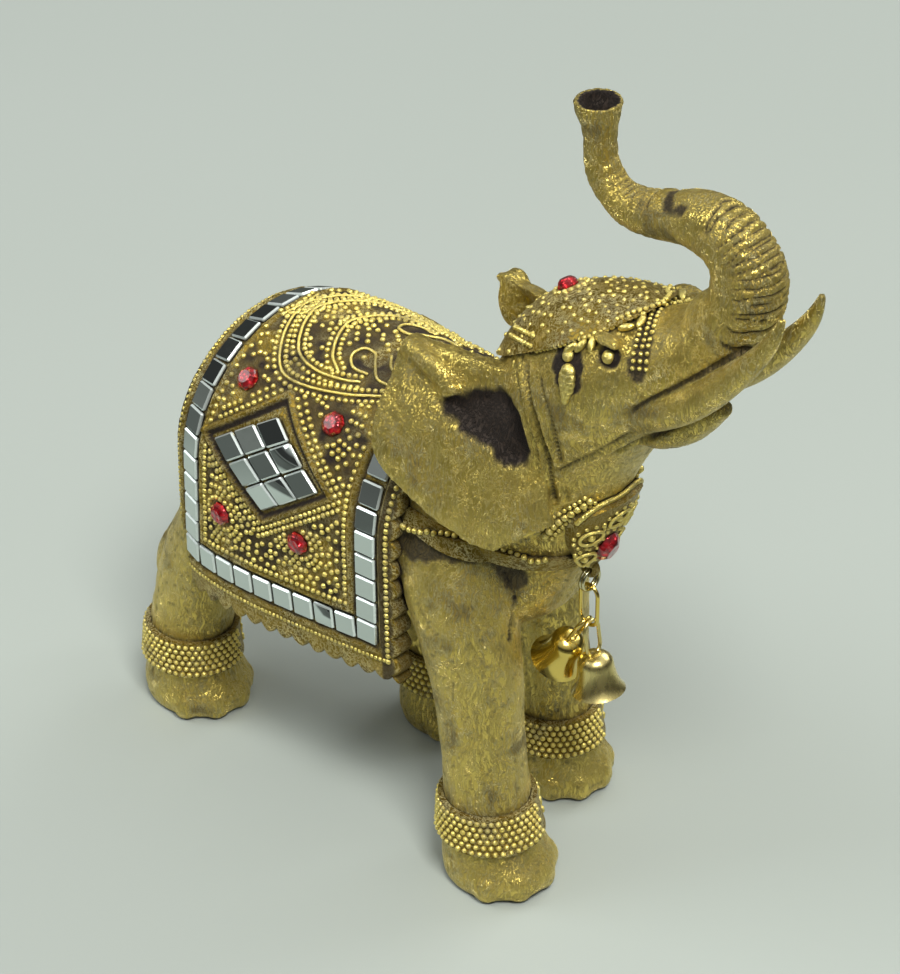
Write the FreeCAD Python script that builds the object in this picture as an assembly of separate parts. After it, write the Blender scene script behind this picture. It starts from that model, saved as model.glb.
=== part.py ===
import FreeCAD, Part
import math
import os

# A standing elephant figurine with its trunk raised: one gold-painted casting, shown here as its zones,
# with mirror tiles and stones glued on and a short chain of two bells hung from the chest ornament.
# Sizes are in millimetres. The head looks along +X, the elephant's left is +Y and the soles rest on Z = 0.

# The working frame's X of the middle of the finished piece, which becomes the origin
MIDDLE_X = -5.66

# Torso sections across X: station, half width, top of the back, belly
TORSO = [
    (-71.0, 7.0, 69.0, 56.0), (-68.5, 13.0, 76.0, 52.0), (-63.0, 19.0, 84.5, 49.0),
    (-55.0, 22.8, 91.0, 47.0), (-44.0, 24.5, 94.0, 46.0), (-30.0, 24.5, 95.0, 45.5),
    (-14.0, 23.5, 95.0, 46.0), (0.0, 22.0, 94.5, 47.5), (10.0, 19.0, 94.0, 50.0),
    (18.0, 14.0, 89.0, 54.0), (22.0, 7.0, 80.0, 61.0),
]
BELLY_SQUARENESS = 2.3

# Head and neck sections along the raised head: centre X and Z, lean of the section's plane from upright,
# half width, and how far it reaches above and below the centre
HEAD = [
    (5.0, 76.0, 52.0, 18.0, 17.0, 23.0), (12.0, 87.0, 50.0, 17.0, 16.5, 21.0),
    (19.0, 98.0, 48.0, 15.5, 15.5, 18.8), (27.0, 109.0, 45.0, 15.2, 18.0, 16.2),
    (36.0, 118.0, 42.0, 15.2, 16.0, 13.5), (45.0, 125.5, 40.0, 12.8, 9.8, 12.0),
    (52.0, 130.0, 40.0, 10.2, 7.0, 10.0), (57.5, 134.0, 46.0, 8.4, 7.4, 8.6),
]

# Trunk centre line and radius from the root to the open tip: X, Z, radius
TRUNK = [
    (57.0, 134.0, 7.9), (60.3, 139.5, 7.5), (62.2, 145.5, 7.0), (61.0, 151.2, 6.5),
    (56.5, 154.6, 6.1), (49.5, 154.8, 5.3), (42.5, 152.8, 4.6), (35.5, 151.6, 4.0),
    (30.2, 154.2, 3.5), (28.0, 159.5, 3.2), (27.5, 165.0, 3.5), (27.3, 169.8, 4.6),
]
NOSTRIL_DEPTH = 6.0
TRUNK_WALL = 1.1

# Lower jaw from the throat to the lip: X, Z, half width, half height
JAW = [(40.5, 110.5, 7.0, 5.0), (48.0, 112.0, 6.0, 4.8), (54.5, 116.5, 4.0, 3.2), (58.5, 119.5, 1.6, 1.4)]

# Tusk centre line from the socket to the point: X, Y, Z, radius
TUSK = [
    (42.0, 6.5, 113.0, 3.4), (49.0, 7.6, 118.0, 3.5), (57.0, 7.8, 123.6, 3.2), (65.0, 7.0, 131.8, 2.6),
    (70.9, 6.0, 139.8, 1.8), (74.0, 5.4, 147.3, 0.6),
]

# Ear slices from the top edge to the lobe: root X, Y, Z, rim X, Y, Z, how far the leaf bows out, thickness
EAR = [
    (18.0, 11.0, 115.0, -5.0, 13.2, 113.5, 0.2, 2.6), (18.5, 11.0, 114.0, -6.5, 14.6, 111.5, 0.5, 3.4),
    (22.0, 11.0, 109.5, -6.2, 20.0, 103.5, 1.5, 2.4), (24.0, 11.5, 106.0, -5.5, 24.0, 96.5, 2.0, 2.6),
    (26.0, 12.0, 99.0, -0.5, 25.0, 90.0, 2.0, 2.6), (28.0, 13.0, 94.0, 9.5, 24.0, 85.0, 1.5, 2.4),
    (30.0, 13.5, 90.0, 17.0, 22.5, 82.0, 1.0, 2.0), (31.0, 14.0, 88.0, 22.5, 21.0, 81.5, 0.3, 0.8),
]

EAR_DOWN = FreeCAD.Vector(0.42, 0, -0.91)

# The left ear is set a little further back than the right one
LEFT_EAR_BACK = 2.5

# Legs from the hip or shoulder to the sole: X, Y, Z, radius along X, radius along Y
FRONT_RIGHT_LEG = [
    (4.0, -13.5, 78.0, 11.5, 7.0), (6.5, -14.3, 66.0, 12.0, 9.6), (10.0, -14.5, 54.0, 10.6, 9.6),
    (12.5, -14.5, 42.0, 9.2, 8.8), (14.5, -15.0, 30.0, 8.4, 8.4), (16.2, -15.3, 18.0, 8.6, 8.6),
    (17.2, -15.3, 10.0, 9.8, 9.6), (19.0, -15.3, 5.0, 11.6, 10.6), (19.2, -15.3, 1.2, 11.2, 10.2),
    (19.0, -15.3, 0.0, 10.0, 9.2),
]
FRONT_LEFT_LEG = [
    (0.0, 13.5, 78.0, 11.5, 7.0), (0.5, 14.3, 66.0, 12.0, 9.6), (1.5, 14.5, 54.0, 10.6, 9.6),
    (3.0, 15.0, 42.0, 9.2, 8.8), (4.5, 15.3, 30.0, 8.2, 8.2), (5.8, 15.5, 18.0, 8.4, 8.4),
    (6.4, 15.6, 10.0, 9.2, 9.0), (7.6, 15.7, 5.0, 10.6, 9.8), (7.8, 15.7, 1.2, 10.2, 9.4),
    (7.6, 15.7, 0.0, 9.2, 8.6),
]
REAR_RIGHT_LEG = [
    (-47.0, -13.0, 78.0, 12.0, 7.0), (-48.5, -13.6, 66.0, 12.5, 8.8), (-54.0, -14.4, 50.0, 11.5, 9.0),
    (-60.5, -14.8, 38.0, 10.0, 8.7), (-64.2, -15.2, 28.0, 8.8, 8.4), (-66.0, -15.4, 18.0, 8.8, 8.4),
    (-66.0, -15.4, 10.0, 9.6, 9.2), (-65.2, -15.4, 5.0, 11.6, 10.2), (-65.2, -15.4, 1.2, 11.2, 9.8),
    (-65.2, -15.4, 0.0, 10.2, 9.0),
]
REAR_LEFT_LEG = [
    (-47.0, 13.0, 78.0, 12.0, 7.0), (-45.0, 14.0, 66.0, 12.5, 9.0), (-39.5, 14.8, 50.0, 11.8, 9.4),
    (-32.5, 15.0, 38.0, 10.0, 9.0), (-27.5, 15.0, 28.0, 8.8, 8.4), (-24.0, 14.8, 18.0, 8.8, 8.4),
    (-22.8, 14.6, 10.0, 9.6, 9.2), (-21.7, 14.6, 5.0, 11.0, 10.0), (-21.5, 14.6, 1.2, 10.6, 9.6),
    (-21.7, 14.6, 0.0, 9.6, 8.8),
]
LEGS = {
    "front_right_leg": FRONT_RIGHT_LEG,
    "front_left_leg": FRONT_LEFT_LEG,
    "rear_right_leg": REAR_RIGHT_LEG,
    "rear_left_leg": REAR_LEFT_LEG,
}

# Tail from the rump to the tuft: X, Y, Z, radius
TAIL = [
    (-63.0, 0.0, 75.0, 3.4), (-67.5, 0.0, 72.5, 2.9), (-70.5, 0.2, 65.0, 2.3), (-71.7, -0.2, 54.0, 1.9),
    (-74.4, -1.6, 42.0, 1.8), (-78.4, -3.4, 32.0, 2.5), (-82.0, -4.8, 23.0, 3.2), (-83.0, -5.6, 14.0, 2.3),
    (-82.6, -5.8, 7.5, 0.8),
]

# Saddle blanket: cover over the back with slanted front and rear edges and a sloping hem
BLANKET_COVER = 2.0
BLANKET_THICK = 4.2
BLANKET_STATIONS = (-70.0, 12.0)
SIDE_DROP = 5.0
SIDE_DRAWN_IN = 0.4
HEM_DRAWN_IN = 1.2
BLANKET_FRONT = (0.4, 50.0, 0.0)
BLANKET_REAR = (-61.0, 50.0, 3.0)
HEM_REAR_Z = 35.0
HEM_SLOPE = 4.5
ARCH_FOOT_Z = 28.0

# Mirror tiles
TILE = 4.8
TILE_THICK = 0.9
TILE_SUNK = 0.55
TILE_PITCH = 5.2

# Glass stones
STONE_DIAMETER = 5.0
STONE_TABLE = 0.55
STONE_RISE = 1.5
STONE_SUNK = 0.7

# X and Z of the stones on each side of the blanket, the upper two lower down on the left
RIGHT_STONES = [(-43.5, 88.8), (-20.5, 89.0), (-44.5, 60.6), (-23.5, 63.7)]
LEFT_STONES = [(-45.5, 83.0), (-19.7, 83.0), (-44.5, 60.6), (-23.5, 63.7)]

# Rows of tiles: the strips' middle lines from the blanket's edges, and the diamond of nine tiles
HEM_TILE_PITCH = 5.1
HEM_STRIP_REAR_X = -53.0
HEM_STRIP_FRONT_X = -5.0
STRIP_ABOVE_HEM = 10.6
STRIP_STEP_DEGREES = 0.5
LAST_TILE_ROOM = 1.56
STRIP_FROM_REAR = 6.1
STRIP_FROM_FRONT = 7.4
FRONT_STRIP_TOP = 88.0
DIAMOND_CENTRE = (-32.6, 77.2)
DIAMOND_HALF_WIDTH = 14.2
DIAMOND_HALF_HEIGHT = 10.6
DIAMOND_GAP = 0.5
SKIN_CENTRE_Z = 70.5
SIDE_REACH = 27.0

# Cap over the forehead, with its stone
CAP_THICK = 1.1
CAP_RIM = (28.0, 124.8)
CAP_SLOPE = 33.0
CAP_FRONT = (43.5, 134.5)
CAP_STONE = (21.0, 129.0)
CAP_STONE_DIAMETER = 4.2

# Breast strap, and the chest ornament with its stone and its lug
STRAP_THICK = 1.0
STRAP_HEIGHT = 3.2
STRAP_Z = 79.0
STRAP_REAR_X = -4.0
STRAP_FALL = 0.2
PLATE_THICK = 2.1
PLATE_CENTRE = (32.0, 79.5)
PLATE_LEAN = 24.0
PLATE_REACH_BACK = 9.0
PLATE_REACH = 16.0
PLATE_OUTLINE = [(10.5, 0.0), (9.8, 5.0), (6.6, 8.4), (1.0, 8.4), (-4.0, 6.4), (-7.8, 3.2), (-9.4, 0.0)]
CHEST_STONE = (34.0, 75.5)
CHEST_STONE_WIDTH = 5.2
CHEST_STONE_LENGTH = 7.2
CHEST_STONE_RISE = 2.0
LUG_X = 27.8
LUG_Z = 69.6
LUG_RADIUS = 2.0
LUG_HOLE = 1.05
LUG_THICK = 1.2
LUG_REACH = 7.0
LUG_STEM_HEIGHT = 2.3
LUG_STEM_DROP = 0.4

# Anklets
ANKLET_THICK = 1.1
ANKLET_LOW = 10.5
ANKLET_HIGH = 18.6

# Jump ring of two turns, long link, and the two bells with their clappers
CLEARANCE = 0.06
LINK_CLEARANCE = 0.09
RING_RADIUS = 2.3
RING_WIRE = 0.36
RING_TURN_APART = 0.65
LINK_LENGTH = 9.2
LINK_WIDTH = 4.2
LINK_WIRE = 0.4
LINK_LIFT = RING_WIRE + LINK_WIRE + LINK_CLEARANCE
LOOP_LIFT = 0.96
LOOP_APART = 0.46
FRONT_BELL_TILT = 9.0
REAR_BELL_TILT = -29.5
REAR_CLAPPER_TILT = -12.5
BELL_RADIUS = 5.3
BELL_HEIGHT = 8.2
BELL_WALL = 0.7
BELL_SHAPE = [(0.0, 0.0), (0.42, 0.04), (0.62, 0.17), (0.68, 0.38), (0.74, 0.62), (0.84, 0.82), (1.0, 1.0)]
BELL_LOOP_HEIGHT = 7.4
BELL_LOOP_WIDTH = 3.8
BELL_LOOP_WIRE = 0.38
CLAPPER_RADIUS = 2.1
CLAPPER_WIRE = 0.3
CLAPPER_EYE = 0.75
CLAPPER_BAR = 0.3
CLAPPER_BAR_HALF = 3.2
CLAPPER_BAR_DROP = 2.6
CLAPPER_LENGTH = 5.8

# Points in each rounded section, the rounds in which a point settles on a surface, and the size of a
# block that cuts away everything on one side of a plane
CORNERS = 16
SEAT_ROUNDS = 6
BLOCK = 260.0

PARTS_FOLDER = "parts"


def vector(x, y, z):
    return FreeCAD.Vector(x, y, z)


def closed_curve(points):
    curve = Part.BSplineCurve()
    curve.interpolate(Points=points, PeriodicFlag=True)
    return Part.Wire(curve.toShape())


def power(value, exponent):
    return math.copysign(abs(value) ** exponent, value)


def oval(centre, across, upward, half_width, rise, drop, squareness=2.0):
    """A rounded section about centre, fuller below where squareness is over 2."""
    points = []
    for step in range(CORNERS):
        angle = 2.0 * math.pi * step / CORNERS
        side, lift = math.cos(angle), math.sin(angle)
        exponent = 1.0 if lift > 0 else 2.0 / squareness
        reach = rise if lift > 0 else drop
        points.append(
            centre + across * (half_width * power(side, exponent)) + upward * (reach * power(lift, exponent))
        )
    return closed_curve(points)


def skin(sections):
    return Part.makeLoft(sections, True, False, False, 3)


def level_oval(x, y, z, radius_x, radius_y):
    return oval(vector(x, y, z), vector(0, 1, 0), vector(1, 0, 0), radius_y, radius_x, radius_x)


def tube(points):
    """A tapering limb along centre points given with their radii, each section square to the path."""
    sections = []
    for place, (centre, radius) in enumerate(points):
        before = points[max(place - 1, 0)][0]
        after = points[min(place + 1, len(points) - 1)][0]
        along = (after - before).normalize()
        across = vector(0, 1, 0)
        upward = along.cross(across).normalize()
        across = upward.cross(along).normalize()
        sections.append(oval(centre, across, upward, radius, radius, radius))
    return skin(sections)


def torso_solid(grow=0.0):
    sections = []
    for x, half_width, top, belly in TORSO:
        middle = (top + belly) / 2.0
        half = (top - belly) / 2.0 + grow
        sections.append(
            oval(vector(x, 0, middle), vector(0, 1, 0), vector(0, 0, 1), half_width + grow, half, half,
                 BELLY_SQUARENESS)
        )
    return skin(sections)


def head_solid(grow=0.0):
    sections = []
    for x, z, lean, half_width, rise, drop in HEAD:
        angle = math.radians(lean)
        upward = vector(-math.sin(angle), 0, math.cos(angle))
        sections.append(
            oval(vector(x, 0, z), vector(0, 1, 0), upward, half_width + grow, rise + grow, drop + grow)
        )
    return skin(sections)


def trunk_solid():
    outer = tube([(vector(x, 0, z), radius) for x, z, radius in TRUNK])
    tip_x, tip_z, tip_radius = TRUNK[-1]
    neck_x, neck_z, neck_radius = TRUNK[-2]
    along = vector(neck_x - tip_x, 0, neck_z - tip_z).normalize()
    tip = vector(tip_x, 0, tip_z)
    nostril = tube([
        (tip - along * 0.5, tip_radius - TRUNK_WALL + 0.2),
        (tip + along * (NOSTRIL_DEPTH * 0.5), neck_radius - TRUNK_WALL),
        (tip + along * NOSTRIL_DEPTH, (neck_radius - TRUNK_WALL) * 0.6),
    ])
    return outer.cut(nostril)


def jaw_solid():
    points = [(vector(x, 0, z), half_height, half_width) for x, z, half_width, half_height in JAW]
    sections = []
    for place, (centre, half_height, half_width) in enumerate(points):
        before = points[max(place - 1, 0)][0]
        after = points[min(place + 1, len(points) - 1)][0]
        along = (after - before).normalize()
        upward = along.cross(vector(0, 1, 0)) * -1.0
        sections.append(oval(centre, vector(0, 1, 0), upward, half_width, half_height, half_height))
    return skin(sections)


def tusk_solid(side):
    return tube([(vector(x, side * y, z), radius) for x, y, z, radius in TUSK])


def open_curve(points):
    curve = Part.BSplineCurve()
    curve.interpolate(points)
    return curve.toShape()


def strip_section(front, back):
    """A closed section of two long curves that run the same way, joined by a short line at each end."""
    edges = [
        open_curve(front),
        Part.makeLine(front[-1], back[-1]),
        open_curve(list(reversed(back))),
        Part.makeLine(back[0], front[0]),
    ]
    return Part.Wire(edges)


def ear_solid(side):
    """A thick leaf: each slice runs from the root at the head to the rim, bowed outwards."""
    sections = []
    for root_x, root_y, root_z, rim_x, rim_y, rim_z, bow, thick in EAR:
        root = vector(root_x, side * root_y, root_z)
        rim = vector(rim_x, side * rim_y, rim_z)
        reach = rim - root
        outward = reach.cross(EAR_DOWN).normalize() * float(-side)
        front = []
        back = []
        for share in (0.0, 0.25, 0.5, 0.75, 1.0):
            middle = root + reach * share + outward * (bow * math.sin(math.pi * share))
            half = outward * (thick * 0.5 * (1.0 - 0.45 * share ** 3))
            front.append(middle + half)
            back.append(middle - half)
        sections.append(strip_section(front, back))
    return skin(sections)


def leg_solid(stations):
    return skin([level_oval(*station) for station in stations])


def tail_solid():
    return tube([(vector(x, y, z), radius) for x, y, z, radius in TAIL])


def cover_half_profile(half_width, top, belly, hem):
    """Half of the blanket's arch at one station, from the spine down to the hem."""
    middle = (top + belly) / 2.0
    half = top - middle
    points = []
    for degrees in (90, 70, 50, 30, 12):
        angle = math.radians(degrees)
        points.append((half_width * math.cos(angle), middle + half * math.sin(angle)))
    side_z = middle - SIDE_DROP
    points.append((half_width, side_z))
    points.append((half_width - SIDE_DRAWN_IN, (side_z + hem) / 2.0))
    points.append((half_width - HEM_DRAWN_IN, hem))
    return points


def cover_section(x, half_width, top, belly):
    """The blanket's closed section across X: an outer arch and an inner arch joined at the hems."""
    arches = []
    for inset in (0.0, BLANKET_THICK):
        grow = BLANKET_COVER - inset
        half = cover_half_profile(half_width + grow, top + grow, belly, ARCH_FOOT_Z)
        arches.append([vector(x, -y, z) for y, z in reversed(half)] + [vector(x, y, z) for y, z in half[1:]])
    return strip_section(arches[0], arches[1])


def far_side_of(point, normal):
    """A large block whose one face passes through point, filling the side that normal points to."""
    block = Part.makeBox(BLOCK, BLOCK, BLOCK, vector(-BLOCK / 2.0, -BLOCK / 2.0, 0))
    turn = FreeCAD.Rotation(vector(0, 0, 1), normal)
    block.Placement = FreeCAD.Placement(point, turn)
    return block


def blanket_arch():
    first, last = BLANKET_STATIONS
    arch = skin([cover_section(*station) for station in TORSO if first < station[0] < last])
    front_x, front_z, front_lean = BLANKET_FRONT
    rear_x, rear_z, rear_lean = BLANKET_REAR
    front, rear = math.radians(front_lean), math.radians(rear_lean)
    arch = arch.cut(far_side_of(vector(front_x, 0, front_z), vector(math.cos(front), 0, -math.sin(front))))
    arch = arch.cut(far_side_of(vector(rear_x, 0, rear_z), vector(-math.cos(rear), 0, math.sin(rear))))
    slope = math.radians(HEM_SLOPE)
    arch = arch.cut(far_side_of(vector(rear_x, 0, HEM_REAR_Z), vector(math.sin(slope), 0, -math.cos(slope))))
    return arch


def rear_edge_x(z):
    edge_x, edge_z, lean = BLANKET_REAR
    return edge_x + (z - edge_z) * math.tan(math.radians(lean))


def front_edge_x(z):
    edge_x, edge_z, lean = BLANKET_FRONT
    return edge_x + (z - edge_z) * math.tan(math.radians(lean))


def hem_z(x):
    return HEM_REAR_Z + (x - BLANKET_REAR[0]) * math.tan(math.radians(HEM_SLOPE))


def widest_surface(solid):
    return max(solid.Faces, key=lambda face: face.Area).Surface


def seat(surface, guess, hold_x=True, hold_z=True):
    """The point of the surface beside guess, and the outward normal there."""
    place = vector(guess.x, guess.y, guess.z)
    for _ in range(SEAT_ROUNDS):
        spot = surface.value(*surface.parameter(place))
        place = vector(guess.x if hold_x else spot.x, spot.y, guess.z if hold_z else spot.z)
    at = surface.parameter(place)
    spot = surface.value(*at)
    normal = surface.normal(*at)
    outward = vector(0, spot.y, spot.z - SKIN_CENTRE_Z)
    if normal.dot(outward) < 0:
        normal = normal * -1.0
    return spot, normal


def set_on(piece, spot, normal, along):
    """Moves a piece modelled on the XY plane so that it stands on spot, with its X axis close to along."""
    across = normal.cross(along).normalize()
    along = across.cross(normal).normalize()
    turn = FreeCAD.Rotation(along, across, normal, "ZXY")
    piece = piece.copy()
    piece.Placement = FreeCAD.Placement(spot, turn)
    return piece


def tile():
    return Part.makeBox(TILE, TILE, TILE_THICK, vector(-TILE / 2.0, -TILE / 2.0, -TILE_SUNK))


def facet_ring(radius_x, radius_y, z, sides=8):
    points = []
    for step in range(sides):
        angle = 2.0 * math.pi * (step + 0.5) / sides
        points.append(vector(radius_x * math.cos(angle), radius_y * math.sin(angle), z))
    return Part.makePolygon(points + points[:1])


def stone(diameter, length=None, rise=STONE_RISE, sides=8):
    """A faceted stone standing on the XY plane, its pointed back sunk below it."""
    half = diameter / 2.0
    half_long = (length or diameter) / 2.0
    rings = [
        facet_ring(half_long * 0.8, half * 0.8, -STONE_SUNK, sides),
        facet_ring(half_long, half, 0.15, sides),
        facet_ring(half_long * 0.86, half * 0.86, rise * 0.62, sides),
        facet_ring(half_long * STONE_TABLE, half * STONE_TABLE, rise, sides),
    ]
    return Part.makeLoft(rings, True, True)


def side_strip(surface, side, route):
    """Tiles laid edge to edge along a route of X and Z on one side of the blanket."""
    tiles = []
    for (x, z), (towards_x, towards_z) in route:
        spot, normal = seat(surface, vector(x, side * SIDE_REACH, z))
        tiles.append(set_on(tile(), spot, normal, vector(towards_x, 0, towards_z)))
    return tiles


def hem_and_front_route():
    slope = math.radians(HEM_SLOPE)
    lean = math.radians(BLANKET_FRONT[2])
    along_hem = (math.cos(slope), math.sin(slope))
    along_front = (math.sin(lean), math.cos(lean))
    corner_z = hem_z(HEM_STRIP_FRONT_X) + STRIP_ABOVE_HEM
    corner_x = front_edge_x(corner_z) - STRIP_FROM_FRONT
    start_z = hem_z(HEM_STRIP_REAR_X) + STRIP_ABOVE_HEM
    start_x = rear_edge_x(start_z) + STRIP_FROM_REAR
    count = int(round((corner_x - start_x) / HEM_TILE_PITCH))
    route = []
    for step in range(1, count):
        x = corner_x - step * (corner_x - start_x) / count
        route.append(((x, hem_z(x) + STRIP_ABOVE_HEM), along_hem))
    z = corner_z
    while z < FRONT_STRIP_TOP:
        route.append(((front_edge_x(z) - STRIP_FROM_FRONT, z), along_front))
        z += TILE_PITCH
    return route


def rear_strip_spots(surface, side):
    """Closely spaced points of the rear strip's middle line, from the spine down one side."""
    lowest = hem_z(HEM_STRIP_REAR_X) + STRIP_ABOVE_HEM - LAST_TILE_ROOM
    spots = []
    angle = 90.0
    while angle > -90.0:
        turn = math.radians(angle)
        reach = vector(0, side * math.cos(turn), math.sin(turn))
        guess = vector(0, 0, SKIN_CENTRE_Z) + reach * SIDE_REACH
        guess.x = rear_edge_x(guess.z) + STRIP_FROM_REAR
        spot, normal = seat(surface, guess, hold_z=False)
        guess.x = rear_edge_x(spot.z) + STRIP_FROM_REAR
        spot, normal = seat(surface, guess, hold_z=False)
        if spot.z < lowest:
            break
        spots.append((spot, normal))
        angle -= STRIP_STEP_DEGREES
    return spots


def rear_strip_tiles(surface):
    """Tiles from hem to hem over the back. The one on the spine is laid with the left side."""
    tiles = []
    for side in (-1, 1):
        spots = rear_strip_spots(surface, side)
        walked = 0.0
        next_tile = 0.0 if side > 0 else TILE_PITCH
        for place, (spot, normal) in enumerate(spots):
            along = vector(0, 1, 0)
            if place > 0:
                along = spot - spots[place - 1][0]
                walked += along.Length
            if walked >= next_tile:
                tiles.append(set_on(tile(), spot, normal, along))
                next_tile += TILE_PITCH
    return tiles


def diamond_tile(rising, falling):
    """One tile of the diamond, its edges along the two given directions on the XY plane."""
    corners = []
    for along_rise, along_fall in ((-0.5, -0.5), (0.5, -0.5), (0.5, 0.5), (-0.5, 0.5)):
        corners.append(rising * along_rise + falling * along_fall + vector(0, 0, -TILE_SUNK))
    return Part.Face(Part.makePolygon(corners + corners[:1])).extrude(vector(0, 0, TILE_THICK))


def diamond_tiles(surface, side):
    """Nine tiles, three by three, that fill a diamond wider than it is tall."""
    rising = vector(DIAMOND_HALF_WIDTH, DIAMOND_HALF_HEIGHT, 0) * (1.0 / 3.0)
    falling = vector(DIAMOND_HALF_WIDTH, -DIAMOND_HALF_HEIGHT, 0) * (1.0 / 3.0)
    shrink = 1.0 - DIAMOND_GAP / rising.Length
    piece = diamond_tile(rising * shrink, falling * shrink)
    centre, normal = seat(surface, vector(DIAMOND_CENTRE[0], side * SIDE_REACH, DIAMOND_CENTRE[1]))
    forward = vector(1, 0, 0)
    upward = normal.cross(forward) * float(side)
    tiles = []
    for row in (-1, 0, 1):
        for column in (-1, 0, 1):
            offset = rising * row + falling * column
            guess = centre + forward * offset.x + upward * offset.y
            spot, normal = seat(surface, guess, hold_x=False, hold_z=False)
            tiles.append(set_on(piece, spot, normal, forward))
    return tiles


def side_stones(surface, side):
    stones = []
    for x, z in RIGHT_STONES if side < 0 else LEFT_STONES:
        spot, normal = seat(surface, vector(x, side * SIDE_REACH, z))
        stones.append(set_on(stone(STONE_DIAMETER), spot, normal, vector(1, 0, 0)))
    return stones


def slab(point, normal, height):
    """A flat layer of the given height with its middle plane through point."""
    half = normal * (height / 2.0)
    above = far_side_of(point - half, normal)
    return above.cut(far_side_of(point + half, normal))


def cap_solid(head, trunk):
    cap = head_solid(CAP_THICK)
    slope = math.radians(CAP_SLOPE)
    rim_x, rim_z = CAP_RIM
    cap = cap.common(far_side_of(vector(rim_x, 0, rim_z), vector(-math.sin(slope), 0, math.cos(slope))))
    front_x, front_z = CAP_FRONT
    cap = cap.cut(far_side_of(vector(front_x, 0, front_z), vector(0.8, 0, 0.6)))
    return cap.cut(head).cut(trunk)


def plate_outline():
    """The chest ornament's outline, wide at the top and drawn in to the bottom, on its own plane."""
    points = []
    for up, half_width in PLATE_OUTLINE:
        points.append((half_width, up))
    mirrored = [(-across, up) for across, up in reversed(points[1:-1])]
    centre = vector(PLATE_CENTRE[0], 0, PLATE_CENTRE[1])
    upward = vector(math.sin(math.radians(PLATE_LEAN)), 0, math.cos(math.radians(PLATE_LEAN)))
    forward = vector(upward.z, 0, -upward.x)
    loop = [centre + vector(0, across, 0) + upward * up for across, up in points + mirrored]
    return closed_curve(loop), centre, upward, forward


def plate_solid(head, torso):
    outline, centre, upward, forward = plate_outline()
    prism = Part.Face(outline)
    prism.translate(forward * -PLATE_REACH_BACK)
    prism = prism.extrude(forward * PLATE_REACH)
    plate = prism.common(head_solid(PLATE_THICK))
    tab = Part.makeCylinder(LUG_RADIUS, LUG_THICK, vector(LUG_X, -LUG_THICK / 2.0, LUG_Z), vector(0, 1, 0))
    stem = Part.makeBox(LUG_REACH, LUG_THICK, LUG_STEM_HEIGHT,
                        vector(LUG_X - LUG_REACH, -LUG_THICK / 2.0, LUG_Z - LUG_STEM_DROP))
    hole = Part.makeCylinder(LUG_HOLE, LUG_THICK * 3, vector(LUG_X, -LUG_THICK * 1.5, LUG_Z), vector(0, 1, 0))
    return plate.fuse(stem).fuse(tab).cut(hole).cut(head).cut(torso).removeSplitter()


def strap_solid(torso, head, legs, blanket, plate, ears):
    layer = slab(vector(0, 0, STRAP_Z), vector(STRAP_FALL, 0, 1.0).normalize(), STRAP_HEIGHT)
    layer = layer.common(far_side_of(vector(STRAP_REAR_X, 0, 0), vector(1, 0, 0)))
    band = torso_solid(STRAP_THICK).common(layer)
    band = band.fuse(head_solid(STRAP_THICK).common(layer))
    for name in ("front_right_leg", "front_left_leg"):
        grown = [(x, y, z, rx + STRAP_THICK, ry + STRAP_THICK) for x, y, z, rx, ry in LEGS[name]]
        band = band.fuse(leg_solid(grown).common(layer))
    for solid in [torso, head, blanket, plate] + legs + ears:
        band = band.cut(solid)
    return band


def anklet_solid(stations, leg):
    grown = [(x, y, z, rx + ANKLET_THICK, ry + ANKLET_THICK) for x, y, z, rx, ry in stations]
    middle_z = (ANKLET_LOW + ANKLET_HIGH) / 2.0
    band = slab(vector(0, 0, middle_z), vector(0, 0, 1), ANKLET_HIGH - ANKLET_LOW)
    return leg_solid(grown).common(band).cut(leg)


def ring_top_in_lug():
    """Height of the ring's wire at its top, where both turns lie in the bottom of the lug's hole."""
    room = LUG_HOLE - RING_WIRE - CLEARANCE
    half_apart = RING_TURN_APART / 2.0
    half_thick = LUG_THICK / 2.0
    sag = RING_RADIUS - math.sqrt(RING_RADIUS ** 2 - half_thick ** 2)
    return LUG_Z - math.sqrt(room ** 2 - half_apart ** 2) + sag


def jump_ring_solid(top_z):
    """A split ring: two turns of wire side by side, pressed together along their whole length."""
    middle = vector(LUG_X, 0, top_z - RING_RADIUS)
    half_apart = vector(RING_TURN_APART / 2.0, 0, 0)
    first = Part.makeTorus(RING_RADIUS, RING_WIRE, middle - half_apart, vector(1, 0, 0))
    return first.fuse(Part.makeTorus(RING_RADIUS, RING_WIRE, middle + half_apart, vector(1, 0, 0)))


def clapper_bar_z():
    """Height of the clapper's bar below the point the bell hangs from."""
    return -BELL_LOOP_HEIGHT + BELL_LOOP_WIRE - CLAPPER_BAR_DROP


def long_loop(centre_x, top_z, length, width, wire, axis):
    """A wire loop hung from top_z: two half rings joined by straight runs, in the plane square to axis."""
    radius = width / 2.0
    reach = vector(0, 1, 0) if axis.x else vector(1, 0, 0)
    top = vector(centre_x, 0, top_z - radius)
    bottom = vector(centre_x, 0, top_z - length + radius)
    loop = []
    for middle, keep_up in ((top, 1.0), (bottom, -1.0)):
        ring = Part.makeTorus(radius, wire, middle, axis)
        loop.append(ring.common(far_side_of(middle, vector(0, 0, keep_up))))
    for side in (-1, 1):
        start = bottom + reach * (side * radius)
        loop.append(Part.makeCylinder(wire, top.z - bottom.z, start, vector(0, 0, 1)))
    return loop[0].fuse(loop[1:]).removeSplitter()


def bell_profile(outer):
    """Radius and height below the dome's top of the bell's wall."""
    shrink = 0.0 if outer else BELL_WALL
    points = []
    for share_radius, share_drop in BELL_SHAPE:
        radius = max(share_radius * BELL_RADIUS - shrink, 0.0)
        points.append(vector(radius, 0, -share_drop * BELL_HEIGHT - shrink))
    return points


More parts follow.
